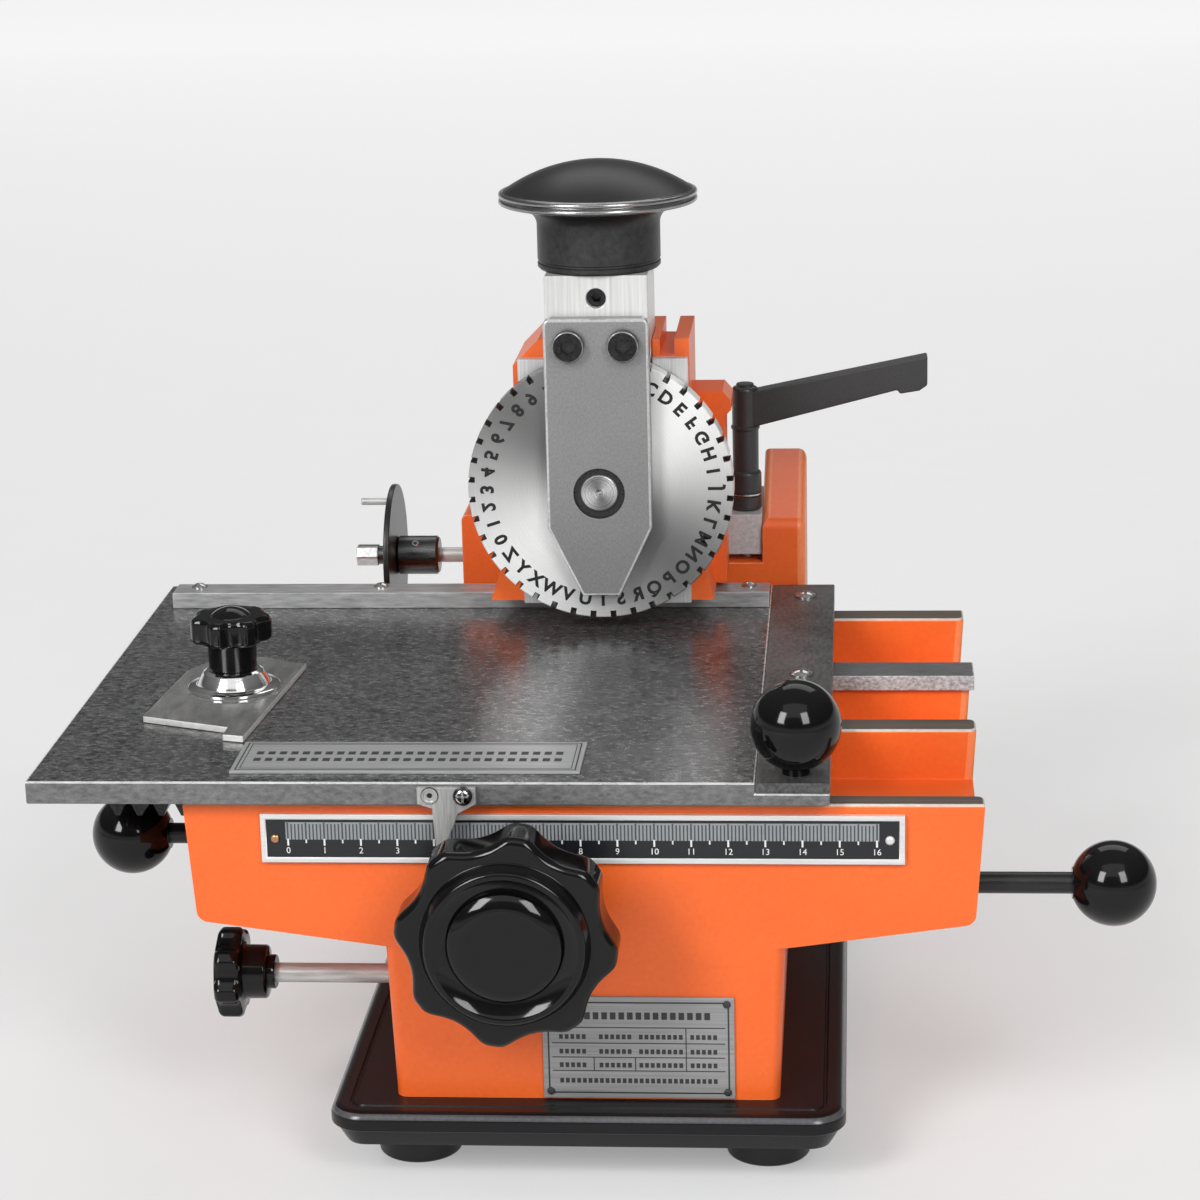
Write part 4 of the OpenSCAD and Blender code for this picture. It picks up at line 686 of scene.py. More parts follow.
gloss_black = grained(
    "gloss_black_plastic", (0.003, 0.003, 0.0034), (0.005, 0.005, 0.0056), (0.06, 0.12), scale=240.0,
    depth=0.012, specular=0.32)
wheel_low, wheel_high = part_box("handwheel")
wheel_axis = ((wheel_low.x + wheel_high.x) / 2, (wheel_low.z + wheel_high.z) / 2)
face_y = -mid_y * 0.001
wheel_r, crest, front, back = 29.9, 36.0, 32.0, 17.0
wheel_outline = (
    [(7.2, 1.8), (9, 1.8), (11.5, 12), (13, back - 0.8), (14, back)]
    + [(23.4, back), (25.8, back)] + bow(wheel_r - 2.8, back + 2.8, 2.8, -90, 0, 7)
    + bow(wheel_r - 2.4, front - 2.4, 2.4, 0, 90, 8)
    + [(24.6, front), (23.6, front - 0.1)] + bow(23.2, front + 0.35, 0.45, -90, -180, 3)
    + [(22.7, front + 0.8), (21.6, crest - 1.6)] + bow(20.4, crest - 1.5, 1.2, 15, 100, 8)
    + bow(12.8, crest + 9.4, 12, -54, -78, 12)
    + [(15.2, crest - 2.5), (4, crest - 2.5)])
wheel = turned(wheel_outline, 192, lobed(wheel_r, 8, 3.2, 14.2, turn=-8))
wheel.rotation_euler = (math.pi / 2, 0, 0)
wheel.location = (wheel_axis[0], face_y, wheel_axis[1])
settle(wheel, "handwheel_rim", "handwheel", gloss_black, ["handwheel"], smooth=50)
cap = turned([(4, crest - 2.55), (15.0, crest - 2.55), (15.0, crest - 1.2)]
             + bow(10, crest - 7.1, 8, 50, 88, 12)
             + [(4, crest + 0.9), (0.6, crest + 0.9)], 128)
cap.rotation_euler = (math.pi / 2, 0, 0)
cap.location = (wheel_axis[0], face_y, wheel_axis[1])
settle(cap, "handwheel_centre", "handwheel", gloss_black, ["handwheel_cap"], smooth=50)


# Table: a ground steel plate with a dark mottled skin, with a screwed-on strip at its right end, a
# fence along the back and a thin plate along the front. It slides on the rail.
table_steel = grained(
    "mottled_table_steel", (0.022, 0.0222, 0.0225), (0.37, 0.372, 0.375), (0.2, 0.32), metallic=0.75,
    scale=560.0, stretch=(1.0, 1.5, 1), depth=0.14, cloud=0.12, contrast=(0.34, 0.68))
edge_steel = steel("table_edge_steel", (0.09, 0.09, 0.09), (0.24, 0.24, 0.24), (0.3, 0.45), (0.6, 1, 1.2),
                   scale=800.0, metallic=0.4)
# A painted highlight: the narrow upward-facing strips along the table's edges take a light steel, standing
# in for the light along them.
table_edge_highlight_steel = steel("table_painted_edge_highlight", (0.55, 0.55, 0.55), (0.82, 0.82, 0.81), (0.22, 0.34), (0.4, 1, 1),
                     scale=500.0, metallic=0.5)
table = slab(*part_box("table_plate"))
table_low, table_high = (v * 1000 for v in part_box("table_plate"))
strip_x = table_high.x - 20
carve(table, block_mm((strip_x, table_low.y - 1, table_high.z - 3),
                      (table_high.x + 1, table_high.y + 1, table_high.z + 1)))
flatten(table)
round_edges(table, 0.0005, 2)
for finish in (table_steel, edge_steel, table_edge_highlight_steel):
    table.data.materials.append(finish)
for face in table.data.polygons:
    if narrow(table, face) and face.normal.z > 0.1:
        face.material_index = 2
    elif face.normal.z < 0.9:
        face.material_index = 1
settle(table, "table_sheet", "table", table_steel, ["table_plate"])
end_strip = slab(*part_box("handle_strip"))
round_edges(end_strip, 0.0004, 2)
strip_steel = grained(
    "end_strip_steel", (0.03, 0.0302, 0.0305), (0.20, 0.20, 0.20), (0.34, 0.46), metallic=0.45, scale=700.0,
    stretch=(1.2, 0.5, 1), depth=0.14, contrast=(0.34, 0.68))
settle(end_strip, "table_end_strip", "table", strip_steel, ["handle_strip"])
fence_steel = steel("fence_steel", (0.26, 0.262, 0.265), (0.56, 0.56, 0.56), (0.26, 0.4), (0.3, 2, 2),
                    cloud=0.1, metallic=0.45)
eased_slab("back_fence", "fence_bar", "table", fence_steel)
notice = slab(*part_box("instruction_plate"))
round_edges(notice, 0.0002, 2)
notice_silver = grained(
    "instruction_aluminium", (0.34, 0.345, 0.35), (0.52, 0.52, 0.52), (0.26, 0.4), metallic=0.4, scale=420.0,
    stretch=(0.06, 4, 4), depth=0.06, cloud=0.2)
settle(notice, "instruction_sheet", "table", notice_silver, ["instruction_plate"])
note_low, note_high = (v * 1000 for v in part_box("instruction_plate"))


def flat_bar(low_x, high_x, low_y, high_y, z):
    """A printed line on a plate that lies flat, in millimetres."""
    return block_mm((low_x, low_y, z - 0.02), (high_x, high_y, z + 0.03))


note_lines = []
for inset, width in ((1.2, 0.4), (2.4, 0.25)):
    a, b, c, d = note_low.x + inset, note_high.x - inset, note_low.y + inset, note_high.y - inset
    note_lines += [flat_bar(a, b, c, c + width, note_high.z), flat_bar(a, b, d - width, d, note_high.z),
                   flat_bar(a, a + width, c, d, note_high.z), flat_bar(b - width, b, c, d, note_high.z)]
dash_l, dash_h, rows_in = 2.0, 2.6, 5.0
for share in (0.34, 0.56):
    y = note_low.y + (note_high.y - note_low.y) * share
    x = note_low.x + rows_in
    while x < note_high.x - rows_in - dash_l:
        note_lines.append(flat_bar(x, x + dash_l, y, y + dash_h, note_high.z))
        x += dash_l * 1.6
settle(joined(note_lines), "instruction_lines", "table", plate_ink)


# Screws that show on the table: bright pan heads with a cross recess on the strip and small ones on
# the fence.
def cross_screw(head_r, head_h, slot_w, slot_l):
    """A domed head with a cross recess, its seat at height 0, in millimetres."""
    head = turned([(head_r, -0.2), (head_r, head_h * 0.35)]
                  + bow(0, head_h - head_r * 1.3, head_r * 1.3, 42, 88, 6), 48)
    for turn in (0, math.pi / 2):
        bar = start(bpy.ops.mesh.primitive_cube_add, size=0.001, location=(0, 0, head_h * 0.001),
                    rotation=(0, 0, turn))
        bar.scale = (slot_l, slot_w, head_h * 0.9)
        bpy.ops.object.transform_apply(location=True, rotation=True, scale=True)
        carve(head, bar)
    return head


screw_bright = steel("zinc_screw", (0.42, 0.42, 0.42), (0.78, 0.78, 0.77), (0.16, 0.3), (1, 1, 1),
                     scale=1200.0)
ts_low, ts_high = (v * 1000 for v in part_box("table_screws"))
tx = (ts_low.x + ts_high.x) / 2
pan = cross_screw(3.6, 1.8, 0.9, 4.2)
pans = copies(pan, [(tx * 0.001, y * 0.001, table_high.z * 0.001)
                    for y in (ts_low.y + 3.6, ts_high.y - 3.6)])
settle(joined(pans), "strip_screw_heads", "table", screw_bright, ["table_screws"])
fs_low, fs_high = (v * 1000 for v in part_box("fence_screws"))
fy = (fs_low.y + fs_high.y) / 2
fence_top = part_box("back_fence")[1].z
small = cross_screw(2.5, 1.4, 0.6, 2.9)
fence_xs = [fs_low.x + 2.55 + i * (fs_high.x - fs_low.x - 5.1) / 3 for i in range(4)]
smalls = copies(small, [(x * 0.001, fy * 0.001, fence_top) for x in fence_xs])
settle(joined(smalls), "fence_screw_heads", "table", screw_bright, ["fence_screws"])


# Ball handle on the strip: a glossy black ball on a short neck, screwed into the table.
def ball(radius, neck_r, neck_low, steps=96):
    """A ball round height 0 with a flat-ended neck below it, in millimetres."""
    foot_angle = math.degrees(math.asin(neck_r / radius)) - 90
    return turned([(neck_r * 0.5, neck_low), (neck_r, neck_low), (neck_r, neck_low + 0.4)]
                  + bow(0, 0, radius, foot_angle, 89, 40), steps)


handle_low, handle_high = (v * 1000 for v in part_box("ball_handle"))
handle_r = (handle_high.x - handle_low.x) / 2
handle_z = handle_high.z - handle_r
handle = ball(handle_r, 3.8, table_high.z - handle_z)
handle.location = ((handle_low.x + handle_r) * 0.001, (handle_low.y + handle_r) * 0.001, handle_z * 0.001)
settle(handle, "ball_handle_knob", "table", gloss_black, ["ball_handle"], smooth=40)


# Pointer and table slides: a bent sheet finger that reads the scale, held by two screws, and the
# gibs and rack that work out of sight under the table.
def eased_copy(node, name, body, material, width=0.0003, segments=2, smooth=35):
    """The solid itself with its edges broken, for pieces whose outline is already right."""
    source = frame["nodes"][node]
    bpy.ops.object.select_all(action="DESELECT")
    source.select_set(True)
    bpy.context.view_layer.objects.active = source
    bpy.ops.object.duplicate()
    piece = bpy.context.active_object
    del piece["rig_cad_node"]
    piece.data.materials.clear()
    flatten(piece)
    if width:
        bevel = piece.modifiers.new("edges", "BEVEL")
        bevel.width, bevel.segments, bevel.use_clamp_overlap = width, segments, False
        bevel.limit_method, bevel.angle_limit = "ANGLE", math.radians(32)
        bpy.ops.object.modifier_apply(modifier=bevel.name)
    return settle(piece, name, body, material, [node], smooth)


def dress(material, *nodes):
    """Nodes that keep their own solid and only take a finish."""
    for node in nodes:
        mesh = frame["nodes"][node].data
        mesh.materials.clear()
        mesh.materials.append(material)


finger_steel = steel("pointer_steel", (0.24, 0.24, 0.24), (0.50, 0.50, 0.49), (0.24, 0.38), (3, 3, 0.2),
                     metallic=0.4)
shade_and_blackened_steel = steel("blackened_steel_and_painted_shade", (0.02, 0.02, 0.021), (0.06, 0.06, 0.062), (0.24, 0.4), (1, 1, 1),
                   scale=1300.0)
plain_steel = steel("plain_steel", (0.26, 0.262, 0.265), (0.5, 0.5, 0.5), (0.3, 0.46), (1, 1, 1),
                    scale=700.0)
eased_copy("pointer", "pointer_finger", "table", finger_steel, 0.0002)
ps_low, ps_high = (v * 1000 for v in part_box("pointer_screws"))
pz = (ps_low.z + ps_high.z) / 2
pointer_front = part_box("pointer")[0].y
button = cross_screw(2.6, 1.8, 0.7, 3.2)
button.data.materials.append(shade_and_blackened_steel)
button.data.materials.append(screw_bright)
for face in button.data.polygons:
    if face.center.z < 0.0014 and math.hypot(face.center.x, face.center.y) < 0.0017:
        face.material_index = 1
flush = turned([(2.4, -0.2), (2.4, 0.2), (2.2, 0.4), (1.7, 0.4), (1.5, 0.25), (0.9, 0.25), (0.7, 0.05),
                (0.3, 0.05)], 48)
flush.data.materials.append(finger_steel)
flush.data.materials.append(shade_and_blackened_steel)
# Painted shade: the flush screw's outer rim and the small dip at its centre take the dark steel, standing in
# for the shade in the gap round the head and in the dip.
for face in flush.data.polygons:
    reach = math.hypot(face.center.x, face.center.y) * 1000
    if reach < 0.6 or reach > 2.0:
        face.material_index = 1
for screw, x in ((flush, ps_low.x + 2.4), (button, ps_high.x - 2.4)):
    screw.rotation_euler = (math.pi / 2, 0, 0)
    screw.location = (x * 0.001, pointer_front, pz * 0.001)
settle(joined([flush, button]), "pointer_screw_heads", "table", screw_bright,
       ["pointer_screws"])
dress(plain_steel, "table_gibs", "drive_pinion", "line_rack", "line_pinion", "pinion_shaft", "lock_stud")
# The feed rack takes the dark steel as painted shade under the table; the screws and bolts are blackened.
dress(shade_and_blackened_steel, "feed_rack", "gib_screws", "column_bolts", "guide_screws", "cap_set_screw")
dress(screw_bright, "foot_screws", "rail_screws", "clamp_stud", "ram_spring")


# Side stop: a thin polished plate that swings round a stud and is clamped by a star knob over a
# turned and chromed cone washer.
stop_steel = steel("polished_stop_steel", (0.36, 0.355, 0.35), (0.62, 0.615, 0.605), (0.14, 0.28),
                   (1, 0.3, 1), scale=300.0, metallic=0.75)
cone_low, cone_high = (v * 1000 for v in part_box("stop_cone"))
stop_x, stop_y = (cone_low.x + cone_high.x) / 2, (cone_low.y + cone_high.y) / 2
stop_low, stop_high = (v * 1000 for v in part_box("side_stop"))
stop_right, stop_left, stop_back, stop_front = 15.1, -18.9, 31.7, -38.0
tab_w, tab_l, stop_lean = 6.8, 8.0, math.radians(-4.9)
stop = prism([(stop_right, stop_front - tab_l), (stop_right, stop_back - 5)]
             + bow(stop_right - 17, stop_back - 17, 17, 45, 140, 12)
             + [(stop_left, stop_back * 0.5), (stop_left, stop_front + 8), (stop_right - tab_w, stop_front),
                (stop_right - tab_w + 0.4, stop_front - tab_l + 1.2)], stop_low.z, stop_high.z, "Z")
round_edges(stop, 0.0004, 2)
stop_rim = grained("bright_stop_rim", (0.52, 0.515, 0.50), (0.80, 0.795, 0.78), (0.24, 0.4), metallic=0.3,
                   scale=500.0, depth=0.06)
stop.data.materials.append(stop_steel)
stop.data.materials.append(stop_rim)
for face in stop.data.polygons:
    face.material_index = 1 if abs(face.normal.z) < 0.8 else 0
stop.rotation_euler = (0, 0, stop_lean)
stop.location = (stop_x * 0.001, stop_y * 0.001, 0)
settle(stop, "side_stop_plate", "side_stop", stop_steel, ["side_stop"])
chrome = grained("turned_chrome", (0.70, 0.70, 0.70), (0.84, 0.84, 0.84), (0.07, 0.15), metallic=1.0,
                 scale=900.0, stretch=(0.3, 0.3, 6), depth=0.04)
cone_h = cone_high.z - cone_low.z
cone_flank = [(13.1, 1.2), (11.4, 1.3), (11.0, 1.5)] + [(10.8 - 2.1 * (i / 10) ** 1.2, 1.7 + 3.7 * i / 10)
                                                        for i in range(11)]
cone = turned([(3.1, 0.02), (13.2, 0.02), (13.5, 0.3), (13.5, 0.9)] + cone_flank
              + [(7.9, cone_h - 0.2), (7.6, cone_h), (3.1, cone_h)], 96)
cone.location = (stop_x * 0.001, stop_y * 0.001, cone_low.z * 0.001)
settle(cone, "stop_cone_washer", "side_stop", chrome, ["stop_cone"])
knob_low, knob_high = (v * 1000 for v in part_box("clamp_knob"))
knob_h = knob_high.z - knob_low.z
head_z = 8.6
clamp_outline = (
    [(3.1, 0.0), (6.4, 0.0), (7, 0.6), (7.2, head_z - 1.2), (8.2, head_z - 0.2), (9.0, head_z)]
    + bow(10.4, head_z + 1.6, 1.6, -90, 0, 5) + bow(10.0, knob_h - 4.2, 2.0, 0, 80, 6)
    + [(7.4, knob_h - 2.2), (6.4, knob_h - 2.0)] + bow(0, knob_h - 8.5, 8.5, 48, 86, 8))
clamp = turned(clamp_outline, 168, lobed(12.0, 7, 2.1, 4.8, blunt=0.5))
clamp.location = (stop_x * 0.001, stop_y * 0.001, knob_low.z * 0.001)
settle(clamp, "clamp_star_knob", "clamp", gloss_black, ["clamp_knob"], smooth=45)


# Head: an orange casting that stands over the table and slides in the column, with a slot for the
# ram, an ear on its right and a steel plate screwed over its front.
head_low, head_high = (v * 1000 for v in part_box("head_casting"))
body_l, body_r, flare_z, shoulder = -31.1 - mid_x, 23.5 - mid_x, head_low.z + 26, 8
foot_l, foot_r_x = head_low.x, 30.1 - mid_x
head_front, head_back, foot_back = 154 - mid_y, 192 - mid_y, head_high.y
head = prism([(foot_l, head_low.z), (foot_r_x, head_low.z), (body_r, flare_z), (body_r, head_high.z),
              (body_l + shoulder, head_high.z), (body_l, head_high.z - shoulder), (body_l, flare_z)],
              head_front, head_back)
carve(head, block_mm((foot_l, head_back - 1, head_low.z), (foot_r_x, foot_back, head_low.z + 14.2)), "UNION")
ear_x, ear_z, lug = head_high.x, head_low.z + 62.8, 2
ear = prism([(body_r - 1, head_low.z + 1), (ear_x - lug, head_low.z + 1), (ear_x - lug, ear_z - 8),
             (ear_x, ear_z - 6),
             (ear_x, ear_z - 3), (ear_x - lug - 0.6, ear_z), (body_r - 1, ear_z)], head_front + 18,
             head_back - 2)
carve(head, ear, "UNION")
carve(head, block_mm((-19.85 - mid_x, head_front - 1, head_low.z + 4),
                     (12.25 - mid_x, head_front + 20.6, head_high.z + 1)))
carve(head, block_mm((body_r - 9, head_front - 1, head_high.z - 5),
                     (body_r - 4.5, head_back + 1, head_high.z + 1)))
orange_edges(head, "head_body", "head", "head_casting", 0.0009)
plate_steel = steel("guide_plate_steel", (0.5, 0.502, 0.505), (0.74, 0.74, 0.74), (0.26, 0.4), (4, 4, 0.06),
                    metallic=0.4)
eased_copy("ram_guide_plate", "guide_plate_sheet", "head", plate_steel, 0.0003)


# Ram and arm: a bright square ram with a nose that overhangs the type wheel. A milled arm plate
# with tapered, chamfered edges is held to the nose by two socket screws and carries the wheel's pin.
ram_steel = steel("milled_ram_steel", (0.60, 0.60, 0.60), (0.80, 0.80, 0.79), (0.26, 0.38), (3, 3, 0.08),
                  cloud=0.1, metallic=0.4)
arm_steel = grained("satin_arm_steel", (0.22, 0.22, 0.22), (0.34, 0.34, 0.34), (0.26, 0.4), metallic=0.55,
                    scale=1700.0, stretch=(1, 1, 0.7), depth=0.16, cloud=0.3)
# A painted highlight: the narrow bevel strips of the arm plate take a lighter steel, standing in for the
# light along its edges.
arm_highlight_steel = steel("arm_painted_edge_highlight", (0.42, 0.42, 0.42), (0.66, 0.66, 0.655), (0.24, 0.36), (1, 1, 1),
                 scale=900.0, metallic=0.5)
ram_low, ram_high = (v * 1000 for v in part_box("ram"))
nose_front, stem_front = 141 - mid_y, 154.3 - mid_y
axis_x, wheel_z = (ram_low.x + ram_high.x) / 2, 162.5
ram = block_mm((ram_low.x, stem_front, ram_low.z), (ram_high.x, ram_high.y, ram_high.z))
carve(ram, block_mm((ram_low.x, nose_front, 204.2), (ram_high.x, stem_front + 1, ram_high.z)), "UNION")
set_hole = start(bpy.ops.mesh.primitive_cylinder_add, vertices=48, radius=0.003, depth=0.016,
                 location=(axis_x * 0.001, nose_front * 0.001, (ram_high.z - 7) * 0.001),
                 rotation=(math.pi / 2, 0, 0))
carve(ram, set_hole)
flatten(ram)
round_edges(ram, 0.0005, 2)
settle(ram, "ram_block", "ram", ram_steel, ["ram"])
arm_low, arm_high = (v * 1000 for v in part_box("arm_plate"))
half, tip_half, bend_z = (arm_high.x - arm_low.x) / 2, 5.8, wheel_z - 11
arm_outline = [(axis_x - tip_half, arm_low.z), (axis_x + tip_half, arm_low.z), (axis_x + half, bend_z)]
arm_outline += bow(axis_x + half - 2.2, arm_high.z - 2.2, 2.2, 0, 90, 5)
arm_outline += bow(axis_x - half + 2.2, arm_high.z - 2.2, 2.2, 90, 180, 5)
arm_outline += [(axis_x - half, bend_z)]
arm = prism(arm_outline, arm_low.y, arm_high.y)
choose(arm, "EDGE", lambda a, b: max(a.y, b.y) < (arm_low.y + 0.1) * 0.001)
bpy.ops.mesh.bevel(offset=0.0009, segments=2, affect="EDGES")
leave_edit()
recess = start(bpy.ops.mesh.primitive_cylinder_add, vertices=96, radius=0.0079, depth=0.003,
               location=(axis_x * 0.001, arm_low.y * 0.001, wheel_z * 0.001), rotation=(math.pi / 2, 0, 0))
carve(arm, recess)
socket_and_recess_shade_black = grained("socket_screw_black_and_painted_recess_shade", (0.012, 0.012, 0.013), (0.05, 0.05, 0.052), (0.22, 0.36),
                       metallic=0.4, scale=1400.0, depth=0.1)
screw_rim_highlight = steel("screw_painted_rim_highlight", (0.14, 0.14, 0.14), (0.34, 0.34, 0.34), (0.24, 0.36), (1, 1, 1),
                   scale=900.0, metallic=0.6)
for finish in (arm_steel, arm_highlight_steel, socket_and_recess_shade_black):
    arm.data.materials.append(finish)
# Painted shade: the faces of the recess round the pin take the black of the socket screws, standing in for
# the shade inside it.
for face in arm.data.polygons:
    reach = math.hypot(face.center.x * 1000 - axis_x, face.center.z * 1000 - wheel_z)
    if reach < 8.2 and face.center.y * 1000 > arm_low.y + 0.3:
        face.material_index = 2
    elif narrow(arm, face):
        face.material_index = 1
settle(arm, "arm_sheet", "ram", arm_steel, ["arm_plate"])


def socket_screw(radius, height, key):
    """A cap screw's head standing on z = 0 with a six-sided key hole."""
    head = turned([(0.6, 0)] + [(radius - 0.3, 0), (radius, 0.3)]
                  + bow(radius - 0.5, height - 0.5, 0.5, 0, 90, 4)
                  + [(key * 0.75, height)], 64)
    hole = start(bpy.ops.mesh.primitive_cylinder_add, vertices=6, radius=key * 0.000577,
                 depth=height * 0.0013, location=(0, 0, height * 0.001))
    carve(head, hole)
    return head


cap_low, cap_high = (v * 1000 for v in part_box("arm_screws"))
cap_r = 4.9
cap_head = socket_screw(cap_r, 3.0, 4.2)
cap_head.rotation_euler = (math.pi / 2, 0, 0)
for finish in (socket_and_recess_shade_black, shade_and_blackened_steel, screw_rim_highlight):
    cap_head.data.materials.append(finish)
# A painted highlight: the rounded rim of each head takes a lighter steel, standing in for the light along
# it.
for face in cap_head.data.polygons:
    reach = math.hypot(face.center.x, face.center.y) * 1000
    if 3.9 < reach < cap_r - 0.05 and face.center.z > 0.0024:
        face.material_index = 2
    elif face.normal.z > 0.9 and face.center.z > 0.0028:
        face.material_index = 1
caps = copies(cap_head, [(x * 0.001, arm_low.y * 0.001, (cap_low.z + cap_high.z) * 0.0005)
                         for x in (cap_low.x + cap_r, cap_high.x - cap_r)])
settle(joined(caps), "arm_screw_heads", "ram", socket_and_recess_shade_black, ["arm_screws"])


def turned_finish(name, x, z, dark, light, rough, rings, depth, sheen_sweep=0.0, turn=0.0, metallic=1.0):
    """Bright metal faced on a lathe: fine rings about an axis along Y, and a painted sheen of two light and
    two dim sectors.
    """
    material, tree, shader = new_finish(name)
    place = put(tree, "ShaderNodeTexCoord")
    centre = put(tree, "ShaderNodeVectorMath", {"operation": "SUBTRACT"})
    centre.inputs[1].default_value = (x * 0.001, 0, z * 0.001)
    flat = put(tree, "ShaderNodeVectorMath", {"operation": "MULTIPLY"})
    flat.inputs[1].default_value = (1, 0, 1)
    reach = put(tree, "ShaderNodeVectorMath", {"operation": "LENGTH"})
    ring = put(tree, "ShaderNodeTexNoise", {"noise_dimensions": "1D"}, Scale=rings, Detail=3.0,
               Roughness=0.6)
    tones = put(tree, "ShaderNodeMix", {"data_type": "RGBA"})
    tones.inputs["A"].default_value, tones.inputs["B"].default_value = (*dark, 1), (*light, 1)
    gloss = put(tree, "ShaderNodeMapRange", To_Min=rough[0], To_Max=rough[1])
    bump = put(tree, "ShaderNodeBump", Strength=depth, Distance=0.0004)
    axes = put(tree, "ShaderNodeSeparateXYZ")
    angle = put(tree, "ShaderNodeMath", {"operation": "ARCTAN2"})
    double = put(tree, "ShaderNodeMath", {"operation": "MULTIPLY_ADD"})
    double.inputs[1].default_value, double.inputs[2].default_value = 2.0, -2 * math.radians(turn)
    wave = put(tree, "ShaderNodeMath", {"operation": "COSINE"})
    shade = put(tree, "ShaderNodeMapRange", From_Min=-1.0, From_Max=1.0, To_Min=1 - sheen_sweep,
                To_Max=1 + sheen_sweep * 0.3)
    swept = put(tree, "ShaderNodeVectorMath", {"operation": "SCALE"})
    for a, b in (
        (flat.outputs["Vector"], axes.inputs["Vector"]),
        (axes.outputs["Z"], angle.inputs[0]),
        (axes.outputs["X"], angle.inputs[1]),
        (angle.outputs["Value"], double.inputs[0]),
        (double.outputs["Value"], wave.inputs[0]),
        (wave.outputs["Value"], shade.inputs["Value"]),
        (tones.outputs["Result"], swept.inputs["Vector"]),
        (shade.outputs["Result"], swept.inputs["Scale"]),
        (place.outputs["Object"], centre.inputs[0]),
        (centre.outputs["Vector"], flat.inputs[0]),
        (flat.outputs["Vector"], reach.inputs[0]),
        (reach.outputs["Value"], ring.inputs["W"]),
        (ring.outputs["Fac"], tones.inputs["Factor"]),
        (ring.outputs["Fac"], gloss.inputs["Value"]),
        (ring.outputs["Fac"], bump.inputs["Height"]),
        (swept.outputs["Vector"], shader.inputs["Base Color"]),
        (gloss.outputs["Result"], shader.inputs["Roughness"]),
        (bump.outputs["Normal"], shader.inputs["Normal"]),
    ):
        tree.links.new(a, b)
    shader.inputs["Metallic"].default_value = metallic
    return material


pin_low, pin_high = (v * 1000 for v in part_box("wheel_pin"))
pin_r = (pin_high.x - pin_low.x) / 2
pin_l = pin_high.y - pin_low.y
# The pin's end carries the same painted sheen of light and dim sectors, standing in for the reflection of a
# turned face.
pin_face = turned_finish("turned_pin_end", axis_x, wheel_z, (0.30, 0.30, 0.30), (0.62, 0.62, 0.615),
                         (0.2, 0.34), 5200.0, 0.3, sheen_sweep=0.6, turn=20, metallic=0.6)
pin = turned([(0.5, 0), (5.0, 0), (5.0, 4.0), (pin_r - 0.8, 4.4), (pin_r - 0.8, pin_l - 0.7)]
             + bow(pin_r - 1.3, pin_l - 0.5, 0.5, 0, 90, 4) + [(1.2, pin_l), (0.7, pin_l - 0.5)], 96)
pin.rotation_euler = (math.pi / 2, 0, 0)
pin.location = (axis_x * 0.001, pin_high.y * 0.001, wheel_z * 0.001)
settle(pin, "wheel_pin_end", "ram", pin_face, ["wheel_pin"])


# Striker: a turned mushroom cap on the ram, struck by hand. It is blackened, satin on the dome and
# glossy on the neck, and its rim carries a painted highlight, a lighter steel on two beads with a groove
# between them.
striker_low, striker_high = (v * 1000 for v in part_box("striker_cap"))
cap_x, cap_y = (striker_low.x + striker_high.x) / 2, (striker_low.y + striker_high.y) / 2
cap_z, dome_r = ram_high.z, (striker_high.x - striker_low.x) / 2
striker_black = grained("satin_striker_black", (0.008, 0.008, 0.0085), (0.018, 0.018, 0.018), (0.30, 0.42),
                        scale=1100.0, depth=0.06, specular=0.4)
neck_black = grained("gloss_striker_neck", (0.03, 0.03, 0.031), (0.075, 0.075, 0.075), (0.36, 0.46),
                     metallic=0.8, scale=500.0, depth=0.02, specular=0.5)
painted_striker_highlight = steel("striker_painted_rim_highlight", (0.20, 0.20, 0.20), (0.46, 0.46, 0.455), (0.18, 0.3), (0.3, 0.3, 8),
                    scale=500.0)
cap_top = striker_high.z - cap_z
rim_z, neck_r = 22.2, 18.9
dome_low = rim_z + 1.9
curve_r = ((dome_r - 1.9) ** 2 + (cap_top - dome_low) ** 2) / (2 * (cap_top - dome_low))
dome_turn = math.degrees(math.asin((dome_r - 1.9) / curve_r))
striker = turned(
    [(3.0, 0), (neck_r - 0.8, 0), (neck_r, 0.8), (neck_r, 1.9), (neck_r - 0.35, 2.2), (neck_r - 0.35, 2.7),
     (neck_r, 3.0), (neck_r, 13.6)] + bow(neck_r + 4.6, 13.6, 4.6, 180, 104, 8) + [(27.5, 19.6)]
    + bow(dome_r - 0.9, rim_z - 1.3, 0.9, -75, 60, 6) + [(dome_r - 0.8, rim_z - 0.2)]
    + bow(dome_r - 0.9, rim_z + 0.7, 0.85, -45, 95, 7) + [(dome_r - 1.5, dome_low - 0.2)]
    + bow(0, cap_top - curve_r, curve_r, 90 - dome_turn, 89.4, 22), 128)
for finish in (striker_black, neck_black, painted_striker_highlight):
    striker.data.materials.append(finish)
for face in striker.data.polygons:
    reach, rise = math.hypot(face.center.x, face.center.y) * 1000, face.center.z * 1000
    # Painted highlight: the faces at the rim take the lighter steel.
    if reach > dome_r - 1.4:
        face.material_index = 2
    elif rise < 18.5:
        face.material_index = 1
striker.location = (cap_x * 0.001, cap_y * 0.001, cap_z * 0.001)
settle(striker, "striker_dome", "ram", striker_black, ["striker_cap"])


